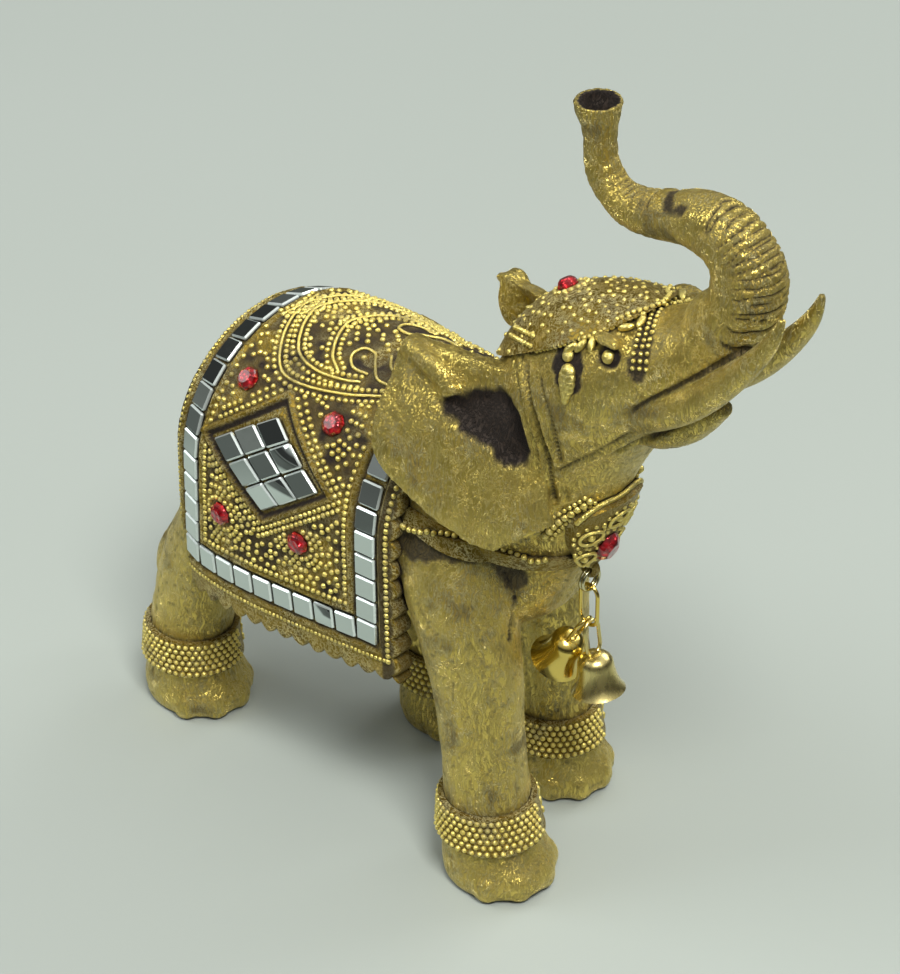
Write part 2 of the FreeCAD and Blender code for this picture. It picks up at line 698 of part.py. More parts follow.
def bell_solid():
    """A flared bell hung from the origin by its tall loop, with the bar for its clapper inside."""
    outer = bell_profile(True)
    inner = bell_profile(False)
    inner[-1] = vector(inner[-1].x, 0, outer[-1].z)
    edges = [
        open_curve(outer),
        Part.makeLine(outer[-1], inner[-1]),
        open_curve(list(reversed(inner))),
        Part.makeLine(inner[0], outer[0]),
    ]
    shell = Part.Face(Part.Wire(edges)).revolve(vector(0, 0, 0), vector(0, 0, 1), 360)
    shell.translate(vector(0, 0, -BELL_LOOP_HEIGHT + BELL_LOOP_WIRE))
    loop = long_loop(0.0, 0.0, BELL_LOOP_HEIGHT, BELL_LOOP_WIDTH, BELL_LOOP_WIRE, vector(1, 0, 0))
    bar_end = vector(0, -CLAPPER_BAR_HALF, clapper_bar_z())
    bar = Part.makeCylinder(CLAPPER_BAR, 2.0 * CLAPPER_BAR_HALF, bar_end, vector(0, 1, 0))
    return shell.fuse([loop, bar]).removeSplitter()


def clapper_solid():
    """A ball on a wire stem whose eye hangs on the bell's bar, which lies at the origin here."""
    eye_z = -(CLAPPER_EYE - CLAPPER_WIRE - CLAPPER_BAR - CLEARANCE)
    eye = Part.makeTorus(CLAPPER_EYE, CLAPPER_WIRE, vector(0, 0, eye_z), vector(0, 1, 0))
    stem_top = eye_z - CLAPPER_EYE
    stem = Part.makeCylinder(CLAPPER_WIRE, CLAPPER_LENGTH + stem_top, vector(0, 0, -CLAPPER_LENGTH),
                             vector(0, 0, 1))
    ball = Part.makeSphere(CLAPPER_RADIUS, vector(0, 0, -CLAPPER_LENGTH))
    return eye.fuse([stem, ball]).removeSplitter()


def swung(shape, place, degrees):
    """A copy hung at place and swung forward by degrees about the Y axis there."""
    shape = shape.copy()
    shape.rotate(vector(0, 0, 0), vector(0, 1, 0), -degrees)
    shape.translate(place)
    return shape


def export(name, shape):
    shape = shape.copy()
    shape.translate(vector(-MIDDLE_X, 0, 0))
    shape.exportStep(os.path.join(PARTS_FOLDER, name + ".step"))
    box = shape.BoundBox
    print("%-24s solids %2d valid %s volume %9.2f box %.2f..%.2f %.2f..%.2f %.2f..%.2f" % (
        name, len(shape.Solids), shape.isValid(), shape.Volume,
        box.XMin, box.XMax, box.YMin, box.YMax, box.ZMin, box.ZMax))


os.makedirs(PARTS_FOLDER, exist_ok=True)

torso = torso_solid()
head = head_solid().cut(torso)
legs = {}
for name, stations in LEGS.items():
    legs[name] = leg_solid(stations).cut(torso).cut(head)
trunk = trunk_solid().cut(head)
jaw = jaw_solid().cut(head)
tail = tail_solid().cut(torso)
arch = blanket_arch()
cover = widest_surface(arch)
blanket = arch.cut(torso)
for leg in legs.values():
    blanket = blanket.cut(leg)
blanket = blanket.cut(head)
ears = {}
tusks = {}
for side, word in ((-1, "right"), (1, "left")):
    ear = ear_solid(side)
    if side > 0:
        ear.translate(vector(-LEFT_EAR_BACK, 0, 0))
    ear = ear.cut(head).cut(torso).cut(blanket)
    for leg in legs.values():
        ear = ear.cut(leg)
    ears[word] = ear
    tusks[word] = tusk_solid(side).cut(head).cut(jaw).cut(trunk)

inlays = {"rear_border_mirrors": rear_strip_tiles(cover)}
for side, word in ((-1, "right"), (1, "left")):
    inlays[word + "_border_mirrors"] = side_strip(cover, side, hem_and_front_route())
    inlays[word + "_diamond_mirrors"] = diamond_tiles(cover, side)
    inlays[word + "_blanket_stones"] = side_stones(cover, side)
glued_on = [piece for pieces in inlays.values() for piece in pieces]
blanket = blanket.cut(glued_on)
# The hips come close to the blanket's outer face, so the glued pieces are sunk into them too
for name in ("rear_right_leg", "rear_left_leg"):
    legs[name] = legs[name].cut(glued_on)

plate = plate_solid(head, torso)
strap = strap_solid(torso, head, list(legs.values()), blanket, plate, list(ears.values()))
cap = cap_solid(head, trunk)
for ear in ears.values():
    cap = cap.cut(ear)

head_face = widest_surface(head_solid(CAP_THICK))
spot, normal = seat(head_face, vector(CAP_STONE[0], 0, CAP_STONE[1]), hold_x=False, hold_z=False)
cap_stone = set_on(stone(CAP_STONE_DIAMETER), spot, normal * (1.0 if normal.z > 0 else -1.0), vector(0, 1, 0))
cap = cap.cut(cap_stone)
plate_face = widest_surface(head_solid(PLATE_THICK))
spot, normal = seat(plate_face, vector(CHEST_STONE[0], 0, CHEST_STONE[1]), hold_x=False, hold_z=False)
chest_stone = set_on(stone(CHEST_STONE_WIDTH, CHEST_STONE_LENGTH, CHEST_STONE_RISE, 12), spot,
                     normal * (1.0 if normal.x > 0 else -1.0), vector(0, 0, 1))
plate = plate.cut(chest_stone)

export("torso", torso)
export("head", head)
export("trunk", trunk)
export("lower_jaw", jaw)
for word in ("right", "left"):
    export(word + "_ear", ears[word])
    export(word + "_tusk", tusks[word])
for name, leg in legs.items():
    export(name, leg)
    export(name.replace("leg", "anklet"), anklet_solid(LEGS[name], leg))
export("tail", tail)
export("saddle_blanket", blanket)
export("breast_strap", strap)
export("chest_plate", plate)
export("head_cap", cap)
export("cap_stone", cap_stone)
export("chest_stone", chest_stone)
for name, pieces in inlays.items():
    export(name, Part.makeCompound(pieces))

ring_top = ring_top_in_lug()
export("jump_ring", jump_ring_solid(ring_top))
link_top = ring_top - 2.0 * RING_RADIUS + LINK_LIFT
export("chain_link", long_loop(LUG_X, link_top, LINK_LENGTH, LINK_WIDTH, LINK_WIRE, vector(0, 1, 0)))
hang_z = link_top - LINK_LENGTH + LOOP_LIFT
bells = [
    ("front", LOOP_APART, FRONT_BELL_TILT, 0.0),
    ("rear", -LOOP_APART, REAR_BELL_TILT, REAR_CLAPPER_TILT),
]
for word, offset, bell_tilt, clapper_tilt in bells:
    place = vector(LUG_X + offset, 0, hang_z)
    bar_place = FreeCAD.Rotation(vector(0, 1, 0), -bell_tilt).multVec(vector(0, 0, clapper_bar_z())) + place
    export(word + "_bell", swung(bell_solid(), place, bell_tilt))
    export(word + "_clapper", swung(clapper_solid(), bar_place, clapper_tilt))
    to_origin = vector(MIDDLE_X, 0, 0)
    print(word, "bell hangs at", place - to_origin, "clapper at", bar_place - to_origin)
print("ring turns at", LUG_X - MIDDLE_X, LUG_Z, "link turns at", LUG_X - MIDDLE_X, link_top)
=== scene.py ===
import math

import bmesh
import bpy
import numpy as np
from mathutils import Matrix, Vector
from mathutils.bvhtree import BVHTree


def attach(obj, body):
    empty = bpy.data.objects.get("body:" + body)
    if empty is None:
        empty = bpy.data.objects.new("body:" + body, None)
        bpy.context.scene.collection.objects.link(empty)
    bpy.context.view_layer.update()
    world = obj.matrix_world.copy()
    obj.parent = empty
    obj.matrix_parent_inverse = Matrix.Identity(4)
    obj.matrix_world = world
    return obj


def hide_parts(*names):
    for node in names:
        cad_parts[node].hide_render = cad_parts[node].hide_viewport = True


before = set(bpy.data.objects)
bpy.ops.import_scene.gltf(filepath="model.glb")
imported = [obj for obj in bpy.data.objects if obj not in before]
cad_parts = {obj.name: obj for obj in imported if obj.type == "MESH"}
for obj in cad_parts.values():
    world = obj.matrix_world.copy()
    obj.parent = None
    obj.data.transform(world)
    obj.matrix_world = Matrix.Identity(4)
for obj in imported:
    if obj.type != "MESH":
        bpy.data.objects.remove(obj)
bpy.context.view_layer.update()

# Camera
# The photograph looks down on the elephant's right side from ahead, with a long lens.
MM = 0.001


def linear(hex_colour):
    """An sRGB colour such as B49A3A as the linear RGBA that shaders take."""
    channels = [int(hex_colour[place:place + 2], 16) / 255.0 for place in (0, 2, 4)]
    return tuple(c / 12.92 if c <= 0.04045 else ((c + 0.055) / 1.055) ** 2.4 for c in channels) + (1.0,)


def feed(tree, node, inputs):
    """Sets a node's inputs: each name or number maps to a value or to another node's socket."""
    for name, value in dict(inputs).items():
        if isinstance(value, bpy.types.NodeSocket):
            tree.links.new(value, node.inputs[name])
        else:
            node.inputs[name].default_value = value


def add_node(tree, kind, inputs=(), **settings):
    """One new shader or geometry node, with its settings and inputs."""
    node = tree.nodes.new(kind)
    for name, value in settings.items():
        setattr(node, name, value)
    feed(tree, node, inputs)
    return node


def new_object(name, data):
    """An object linked into the scene."""
    made = bpy.data.objects.new(name, data)
    bpy.context.collection.objects.link(made)
    return made


def new_material(name):
    """A material, with its node tree, its shader and the object's own coordinates."""
    material = bpy.data.materials.new(name)
    material.use_nodes = True
    tree = material.node_tree
    place = add_node(tree, "ShaderNodeTexCoord").outputs["Object"]
    return material, tree, tree.nodes["Principled BSDF"], place


camera_data = bpy.data.cameras.new("camera")
camera_data.lens = 149.9
camera_data.sensor_width = 36.0
camera_data.clip_end = 20.0
camera = new_object("camera", camera_data)
camera.location = Vector((433.26, -467.3, 518.1)) * MM
aim = Vector((-2.44, 0.0, 70.7)) * MM - camera.location
camera.rotation_euler = aim.to_track_quat("-Z", "Y").to_euler()
bpy.context.scene.camera = camera
bpy.context.scene.view_settings.view_transform = "Standard"

# Floor
# A plain pale grey-green sheet, matt, larger than the camera sees.
# In reflections it turns dark from 16 to 22 cm out, as a dark room round it would.
floor_mesh = bpy.data.meshes.new("floor")
floor_mesh.from_pydata([(-3, -3, 0), (3, -3, 0), (3, 3, 0), (-3, 3, 0)], [], [(0, 1, 2, 3)])
floor = new_object("floor", floor_mesh)
floor_material, tree, shader, place = new_material("pale_paper")
cloud = add_node(tree, "ShaderNodeTexNoise", {"Vector": place, "Scale": 3.0, "Detail": 2.0})
tint = add_node(tree, "ShaderNodeMix", {0: cloud.outputs[0], 6: linear("98A099"), 7: linear("A0A7A2")},
                data_type="RGBA")
far = add_node(tree, "ShaderNodeVectorMath", {0: place}, operation="LENGTH")
edge = add_node(tree, "ShaderNodeMapRange", {0: far.outputs["Value"], 1: 0.16, 2: 0.22, 3: 0.0, 4: 0.92})
mirrored = add_node(tree, "ShaderNodeMath", {0: add_node(tree, "ShaderNodeLightPath").outputs["Is Glossy Ray"],
                                             1: edge.outputs[0]}, operation="MULTIPLY")
seen = add_node(tree, "ShaderNodeMix", {0: mirrored.outputs[0], 6: tint.outputs[2], 7: linear("20241F")},
                data_type="RGBA")
feed(tree, shader, {"Base Color": seen.outputs[2], "Roughness": 0.7})
floor_mesh.materials.append(floor_material)

# Studio light
# A soft box overhead in front, a wide one to the left and another behind, in a room that is dark low down
# and bright overhead.
FIGURE_MIDDLE = Vector((0, 0, 0.07))


def soft_box(name, place, size, power, colour):
    """A rectangular lamp turned to the figure; place and size in metres."""
    lamp = bpy.data.lights.new(name, "AREA")
    lamp.shape = "RECTANGLE"
    lamp.size, lamp.size_y = size
    lamp.energy = power
    lamp.color = colour
    box = new_object(name, lamp)
    box.location = place
    box.rotation_euler = (FIGURE_MIDDLE - Vector(place)).to_track_quat("-Z", "Y").to_euler()


soft_box("key_light", (0.55, -0.35, 1.1), (0.36, 0.36), 15.0, (1.0, 0.98, 0.94))
soft_box("fill_light", (-0.8, -0.6, 0.9), (0.7, 0.7), 6.5, (0.96, 0.99, 1.0))
soft_box("back_light", (0.1, 1.0, 0.8), (0.8, 0.5), 6.0, (1.0, 1.0, 0.98))

world = bpy.data.worlds.new("room")
world.use_nodes = True
bpy.context.scene.world = world
tree = world.node_tree
direction = add_node(tree, "ShaderNodeTexCoord").outputs["Generated"]
height = add_node(tree, "ShaderNodeSeparateXYZ", {0: direction}).outputs["Z"]
ramp = add_node(tree, "ShaderNodeValToRGB", {0: height})
ramp.color_ramp.elements[0].position = 0.0
ramp.color_ramp.elements[0].color = (0.30, 0.31, 0.29, 1.0)
ramp.color_ramp.elements[1].position = 0.9
ramp.color_ramp.elements[1].color = (1.0, 1.0, 0.98, 1.0)
for position, level in ((0.05, 0.05), (0.30, 0.06), (0.50, 0.55)):
    mark = ramp.color_ramp.elements.new(position)
    mark.color = (level, level * 1.02, level, 1.0)
feed(tree, tree.nodes["Background"], {"Color": ramp.outputs[0], "Strength": 0.75})

# Body skin
# The torso, legs and tail: one resin casting painted antique gold, with fur strokes cut into it,
# darker brown in its creases and stroke grooves, painted shade in narrow hollows and painted shadow below the
# strap.


def value_noise(points, seed):
    """Smooth noise between -1 and 1, with one cell per unit of the points."""
    table = np.random.RandomState(seed).uniform(-1.0, 1.0, 8192)
    cell = np.floor(points).astype(np.int64)
    part = points - cell
    part = part * part * (3.0 - 2.0 * part)
    total = np.zeros(len(points))
    for corner in range(8):
        step = np.array([(corner >> axis) & 1 for axis in range(3)])
        at = cell + step
        key = ((at[:, 0] * 73856093) ^ (at[:, 1] * 19349663) ^ (at[:, 2] * 83492791)) & 8191
        total += table[key] * np.prod(np.where(step == 1, part, 1.0 - part), axis=1)
    return total


def ridges(points, seed):
    """Narrow dark grooves of depth 0 to 1 between rounded strokes."""
    return 1.0 - np.abs(value_noise(points, seed))


def fade(value, start, end):
    """0 before start and 1 after end, with a smooth change between; works either way round."""
    share = np.clip((value - start) / (end - start), 0.0, 1.0)
    return share * share * (3.0 - 2.0 * share)


def joined_nodes(names, keep_side=None):
    """One bmesh of CAD nodes' meshes; keep_side = (node, point, normal) trims one node at a plane first."""
    joined = bmesh.new()
    for name in names:
        single = bmesh.new()
        single.from_mesh(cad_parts[name].data)
        bmesh.ops.remove_doubles(single, verts=single.verts, dist=1e-6)
        if keep_side and keep_side[0] == name:
            point, normal = keep_side[1:]
            geometry = single.verts[:] + single.edges[:] + single.faces[:]
            cut = bmesh.ops.bisect_plane(single, geom=geometry, plane_co=point, plane_no=normal,
                                         clear_inner=True)
            edges = [item for item in cut["geom_cut"] if isinstance(item, bmesh.types.BMEdge)]
            bmesh.ops.holes_fill(single, edges=edges)
        mesh = bpy.data.meshes.new("part")
        single.to_mesh(mesh)
        single.free()
        joined.from_mesh(mesh)
        bpy.data.meshes.remove(mesh)
    return joined


def keep_result(piece):
    """Replaces an object's mesh by what its modifiers make of it."""
    shape = bpy.data.meshes.new_from_object(piece.evaluated_get(bpy.context.evaluated_depsgraph_get()))
    piece.modifiers.clear()
    piece.data = shape
    shape.name = piece.name
    return shape


def remeshed(name, joined, voxel, rounds):
    """A closed mesh over the joined solids, its seams closed and lightly smoothed."""
    mesh = bpy.data.meshes.new(name)
    joined.to_mesh(mesh)
    joined.free()
    piece = new_object(name, mesh)
    remesh = piece.modifiers.new("remesh", "REMESH")
    remesh.mode = "VOXEL"
    remesh.voxel_size = voxel
    smooth = piece.modifiers.new("smooth", "SMOOTH")
    smooth.factor = 0.5
    smooth.iterations = rounds
    for polygon in keep_result(piece).polygons:
        polygon.use_smooth = True
    return piece


def read_points(mesh):
    """Vertices and normals in millimetres."""
    points = np.empty(len(mesh.vertices) * 3)
    mesh.vertices.foreach_get("co", points)
    normals = np.empty(len(mesh.vertices) * 3)
    mesh.vertices.foreach_get("normal", normals)
    return points.reshape(-1, 3) / MM, normals.reshape(-1, 3)


def write_points(mesh, points, dark):
    """Stores moved vertices, and how dark each is painted: brown paint and painted shade."""
    mesh.vertices.foreach_set("co", (points * MM).ravel())
    mesh.update()
    layer = mesh.attributes.get("antique_and_shade") or mesh.attributes.new("antique_and_shade", "FLOAT", "POINT")
    layer.data.foreach_set("value", np.clip(dark, 0.0, 1.0))


def gold_paint(name, light, deep, stroke_scale, stroke_depth, roughness=0.36, stretch=(1.0, 1.0, 0.16),
               crevice=1.2):
    """Antique gold paint: raised strokes along the stretched axis, painted paler as a highlight, and dark brown
    painted shade in recesses up to crevice millimetres wide and where the stored attribute says."""
    material, tree, shader, place = new_material(name)
    drift = add_node(tree, "ShaderNodeTexNoise", {"Vector": place, "Scale": 160.0, "Detail": 1.0})
    bent = add_node(tree, "ShaderNodeVectorMath", {0: drift.outputs["Color"], 1: (0.004, 0.004, 0.004)},
                    operation="MULTIPLY")
    moved = add_node(tree, "ShaderNodeVectorMath", {0: place, 1: bent.outputs[0]}, operation="ADD")
    scale = tuple(stroke_scale / MM * part for part in stretch)
    mapped = add_node(tree, "ShaderNodeMapping", {"Vector": moved.outputs[0], "Scale": scale})
    strokes = add_node(tree, "ShaderNodeTexNoise",
                       {"Vector": mapped.outputs[0], "Scale": 1.0, "Detail": 3.0, "Roughness": 0.65})
    centred = add_node(tree, "ShaderNodeMath", {0: strokes.outputs[0], 1: 0.5}, operation="SUBTRACT")
    size = add_node(tree, "ShaderNodeMath", {0: centred.outputs[0]}, operation="ABSOLUTE")
    ridge = add_node(tree, "ShaderNodeMapRange", {0: size.outputs[0], 1: 0.0, 2: 0.07, 3: 1.0, 4: 0.0})
    patches = add_node(tree, "ShaderNodeTexNoise",
                       {"Vector": place, "Scale": 120.0, "Detail": 4.0, "Roughness": 0.6})
    worn = add_node(tree, "ShaderNodeMapRange", {0: patches.outputs[0], 1: 0.42, 2: 0.62, 3: 0.25, 4: 1.0})
    # Painted highlight: the raised strokes turn paler, up to a pale cream, weaker where the worn patches fade it.
    worn_ridge_highlight = add_node(tree, "ShaderNodeMath", {0: ridge.outputs[0], 1: worn.outputs[0]}, operation="MULTIPLY")
    # Painted shade: dark brown in recesses up to crevice millimetres wide, found by ambient occlusion, joined
    # with the stored darkness.
    near = add_node(tree, "ShaderNodeAmbientOcclusion", {"Distance": crevice * MM}, samples=6)
    occlusion_shade = add_node(tree, "ShaderNodeMapRange", {0: near.outputs["AO"], 1: 0.30, 2: 0.80, 3: 1.0, 4: 0.0})
    stored = add_node(tree, "ShaderNodeAttribute", attribute_name="antique_and_shade").outputs["Fac"]
    hollow = add_node(tree, "ShaderNodeMath", {0: occlusion_shade.outputs[0], 1: stored}, operation="MAXIMUM")
    painted_stroke_highlight = add_node(tree, "ShaderNodeMath", {0: worn_ridge_highlight.outputs[0], 1: 0.8}, operation="MULTIPLY")
    speck = add_node(tree, "ShaderNodeMapRange", {0: patches.outputs[0], 1: 0.54, 2: 0.68, 3: 0.0, 4: 0.6})
    dark = add_node(tree, "ShaderNodeMath", {0: hollow.outputs[0], 1: speck.outputs[0]}, operation="MAXIMUM")
    base = add_node(tree, "ShaderNodeMix", {0: patches.outputs[0], 6: linear(light), 7: linear(deep)},
                    data_type="RGBA")
    tone = add_node(tree, "ShaderNodeMix", {0: painted_stroke_highlight.outputs[0], 6: base.outputs[2], 7: linear("FFF4B4")},
                    data_type="RGBA")
    colour = add_node(tree, "ShaderNodeMix", {0: dark.outputs[0], 6: tone.outputs[2], 7: linear("24180C")},
                      data_type="RGBA")
    gloss = add_node(tree, "ShaderNodeMapRange", {0: dark.outputs[0], 3: 0.92, 4: 0.15})
    rough = add_node(tree, "ShaderNodeMapRange", {0: dark.outputs[0], 3: roughness, 4: 0.75})
    fine = add_node(tree, "ShaderNodeTexNoise", {"Vector": place, "Scale": 2600.0, "Detail": 2.0})
    relief = add_node(tree, "ShaderNodeMath", {0: fine.outputs[0], 1: 0.25, 2: ridge.outputs[0]},
                      operation="MULTIPLY_ADD")
    bump = add_node(tree, "ShaderNodeBump", {"Height": relief.outputs[0], "Distance": stroke_depth * MM})
    feed(tree, shader, {"Base Color": colour.outputs[2], "Metallic": gloss.outputs[0],
                        "Roughness": rough.outputs[0], "Normal": bump.outputs[0]})
    return material


def smooth_line(corners, step):
    """Evenly spaced points along a curve through the corners, in millimetres."""
    corners = [np.array(corner, dtype=float) for corner in corners]
    ends = [2 * corners[0] - corners[1]] + corners + [2 * corners[-1] - corners[-2]]
    dense = []
    for a, b, c, d in zip(ends, ends[1:], ends[2:], ends[3:]):
        for t in np.linspace(0.0, 1.0, 20, endpoint=False):
            dense.append(0.5 * (2 * b + (c - a) * t + (2 * a - 5 * b + 4 * c - d) * t * t
                                + (3 * b - a - 3 * c + d) * t ** 3))
    dense = np.array(dense + [corners[-1]])
    walked = np.concatenate([[0.0], np.cumsum(np.linalg.norm(np.diff(dense, axis=0), axis=1))])
    marks = np.linspace(0.0, walked[-1], max(int(round(walked[-1] / step)), 1) + 1)
    return np.column_stack([np.interp(marks, walked, dense[:, axis]) for axis in range(3)])


def line_distance(points, corners):
    """Distance in millimetres from each point to a curve through the corners, or to its mirror image."""
    line = smooth_line(corners, 1.0)
    folded = np.column_stack([points[:, 0], -np.abs(points[:, 1]), points[:, 2]])
    best = np.full(len(points), 1e9)
    for spot in line:
        best = np.minimum(best, ((folded - spot) ** 2).sum(axis=1))
    return np.sqrt(best)


def add_ellipsoid(grown, place, radii):
    """An ellipsoid set by a matrix, its radii in millimetres."""
    size = Matrix.Diagonal(Vector((radii[0], radii[1], radii[2], 1000.0)) * MM)
    bmesh.ops.create_uvsphere(grown, u_segments=20, v_segments=12, radius=1.0, matrix=place @ size)


def add_lobe(joined, centre, radii, turn=0.0):
    """A rounded swelling, turned about Z, that the remesh melts into the skin."""
    add_ellipsoid(joined, Matrix.Translation(Vector(centre) * MM) @ Matrix.Rotation(turn, 4, "Z"), radii)


fur_gold = gold_paint("antique_gold_fur", "F0DC7C", "B0943A", 1.5, 0.55, 0.30)
neck_point = Vector((19.66, 0.0, 82.0)) * MM
neck_way = Vector((0.616, 0.0, 0.788))
body_names = ["torso", "front_right_leg", "front_left_leg", "rear_right_leg", "rear_left_leg", "tail"]
casting = joined_nodes(body_names + ["head"], ("head", neck_point + neck_way * 0.0025, -neck_way))
FEET = [(24.66, -15.3, 10.8, 10.2), (13.26, 15.7, 10.0, 9.4), (-59.54, -15.4, 10.8, 9.8),
        (-16.04, 14.6, 10.4, 9.6)]
for foot_x, foot_y, reach_x, reach_y in FEET:
    for degrees in (-62, -24, 14, 52):
        turn = math.radians(degrees)
        centre = (foot_x + reach_x * math.cos(turn), foot_y + reach_y * math.sin(turn), 2.9)
        add_lobe(casting, centre, (1.6, 2.7, 2.9), turn)
body = remeshed("body_skin", casting, 0.66 * MM, 2)
points, normals = read_points(body.data)
grain = np.column_stack([points[:, 0] / 1.3, points[:, 1] / 1.3, points[:, 2] / 5.0])
wander = value_noise(points / 9.0, 11)[:, None] * np.array([1.4, 1.4, 0.0])
stroke = ridges(grain + wander, 12) ** 3
lump = value_noise(points / 7.0, 13) + 0.5 * value_noise(points / 3.4, 14)
shift = 0.14 * lump - 0.22 * stroke
sole = fade(points[:, 2], 0.6, 2.2)
# Painted shadow: a dark band on the body just below the breast strap's lower edge.
strap_shade = line_distance(points, [(2, -23.5, 73.5), (6.1, -22.9, 73.2), (12.4, -21.4, 74.8), (20, -18.7, 76.2),
                                     (24.5, -15.3, 73.7), (25.5, -12.2, 69)])
seam = line_distance(points, [(24.2, -13.5, 70.2), (25.1, -11.6, 63.9), (25.9, -13.3, 55.8)])
elbow = line_distance(points, [(8, -24, 70), (12, -24.5, 62), (18, -23, 56), (22, -19, 53)])
shift = shift - 0.7 * fade(seam, 1.1, 0.2) - 0.35 * fade(elbow, 1.2, 0.3)
points = points + normals * (shift * sole)[:, None]
fur_edge = 0.8 * value_noise(grain * np.array([1.6, 1.6, 0.5]), 15)
shade = np.maximum(fade(strap_shade + fur_edge, 3.6, 2.2) * 0.92, fade(seam, 1.0, 0.3))
shade = np.maximum(shade, fade(stroke, 0.78, 1.0) * 0.55)
write_points(body.data, points, np.maximum(shade, fade(elbow, 0.8, 0.2) * 0.5))
body.data.materials.append(fur_gold)
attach(body, "figure")
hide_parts(*body_names)

# Head skin
# Head, trunk, jaw, ears and tusks, the upper end of the same casting.
TRUNK_LINE = np.array([
    (57.0, 134.0), (60.3, 139.5), (62.2, 145.5), (61.0, 151.2), (56.5, 154.6), (49.5, 154.8),
    (42.5, 152.8), (35.5, 151.6), (30.2, 154.2), (28.0, 159.5), (27.5, 165.0), (27.3, 169.8),
]) + np.array([5.66, 0.0])


def along_trunk(points):
    """For each point, how far along the trunk it lies and how far outside the line's bend, in millimetres."""
    dense = []
    for start, end in zip(TRUNK_LINE[:-1], TRUNK_LINE[1:]):
        for share in np.linspace(0.0, 1.0, 12, endpoint=False):
            dense.append(start + (end - start) * share)
    dense = np.array(dense + [TRUNK_LINE[-1]])
    steps = np.hypot(*np.diff(dense, axis=0).T)
    walked = np.concatenate([[0.0], np.cumsum(steps)])
    flat = points[:, [0, 2]]
    nearest = np.argmin(((flat[:, None, :] - dense[None, :, :]) ** 2).sum(axis=2), axis=1)
    ahead = dense[np.minimum(nearest + 1, len(dense) - 1)] - dense[np.maximum(nearest - 1, 0)]
    ahead = ahead / np.hypot(ahead[:, 0], ahead[:, 1])[:, None]
    offset = flat - dense[nearest]
    outward = offset[:, 0] * ahead[:, 1] - offset[:, 1] * ahead[:, 0]
    forward = (offset * ahead).sum(axis=1)
    return walked[nearest] + forward, outward


head_names = ["trunk", "lower_jaw", "right_ear", "left_ear", "right_tusk", "left_tusk"]
casting = joined_nodes(head_names + ["head"], ("head", neck_point, neck_way))
add_lobe(casting, (1.2, 14.4, 108.6), (3.8, 3.2, 6.4))
EAR_TOP = [(2.0, -14.6, 112.0), (6, -15.6, 111.9), (10, -16, 110.9), (13.5, -16.6, 108.8)]
for lobe_x, lobe_y, lobe_z in smooth_line(EAR_TOP, 1.4):
    add_lobe(casting, (lobe_x, lobe_y, lobe_z - 0.6), (2.4, 2.3, 2.3))
for side in (-1, 1):
    add_lobe(casting, (45.6, side * 11.0, 130.6), (3.2, 1.6, 1.3), side * 0.25)
    add_lobe(casting, (47.0, side * 11.3, 125.8), (2.6, 1.2, 1.0), side * 0.25)
head = remeshed("head_skin", casting, 0.5 * MM, 1)
points, normals = read_points(head.data)
grain = np.column_stack([points[:, 0] / 1.1, points[:, 1] / 1.1, points[:, 2] / 4.5])
wander = value_noise(points / 8.0, 21)[:, None] * np.array([1.6, 1.6, 0.0])
stroke = ridges(grain + wander, 22) ** 3
lump = value_noise(points / 6.0, 23) + 0.5 * value_noise(points / 3.0, 24)
shift = 0.10 * lump - 0.16 * stroke
dark = fade(stroke, 0.8, 1.0) * 0.4
walked, outward = along_trunk(points)
TUSK_LINE = [(47.66, -6.5, 113.0), (54.66, -7.6, 118.0), (62.66, -7.8, 123.6), (70.66, -7.0, 131.8),
             (76.56, -6.0, 139.8), (79.66, -5.4, 147.3)]
TUSK_RADII = (3.4, 3.5, 3.2, 2.6, 1.8, 0.6)
tusk_gap = line_distance(points, TUSK_LINE)
tusk_gap = tusk_gap - np.interp(points[:, 2], [spot[2] for spot in TUSK_LINE], TUSK_RADII)
ahead_of_lip = fade(points[:, 0], 50.0, 53.0)
tusk = fade(tusk_gap, 0.7, 0.3) * ahead_of_lip
# A shallow groove about a millimetre out from each tusk, painted dark as the tusk's shadow on cheek and trunk.
tusk_shadow_groove = fade(np.abs(tusk_gap - 1.1), 0.9, 0.3) * ahead_of_lip
on_trunk = fade(points[:, 2], 132.0, 138.0) * (1.0 - tusk) * fade(points[:, 0] + points[:, 2], 184.0, 190.0)
sway = 1.6 * value_noise(points / 5.0, 25) + 0.9 * value_noise(points / 2.2, 26)
rib = np.maximum(0.0, np.sin(2.0 * np.pi * walked / (2.6 + 0.4 * np.sin(walked / 5.0)) + sway)) ** 2
bars = fade(outward, 0.8, 3.2)
shift = shift - on_trunk * (0.12 * rib + 0.42 * rib * bars * fade(walked, 62.0, 45.0))
dark = np.maximum(dark, on_trunk * fade(rib, 0.35, 0.9) * bars * fade(walked, 62.0, 45.0) * 0.95)


def inside_outline(points, outline):
    """How far inside a flat outline each X and Z place is, in millimetres, negative outside."""
    outline = np.array(outline)
    inside = np.zeros(len(points), dtype=bool)
    gap = np.full(len(points), 1e9)
    px, pz = points[:, 0], points[:, 2]
    for (ax, az), (bx, bz) in zip(outline, np.roll(outline, -1, axis=0)):
        crosses = ((az > pz) != (bz > pz)) & (px < (bx - ax) * (pz - az) / (bz - az + 1e-9) + ax)
        inside ^= crosses
        share = ((px - ax) * (bx - ax) + (pz - az) * (bz - az)) / ((bx - ax) ** 2 + (bz - az) ** 2)
        share = np.clip(share, 0, 1)
        gap = np.minimum(gap, np.hypot(px - ax - share * (bx - ax), pz - az - share * (bz - az)))
    return np.where(inside, gap, -gap)


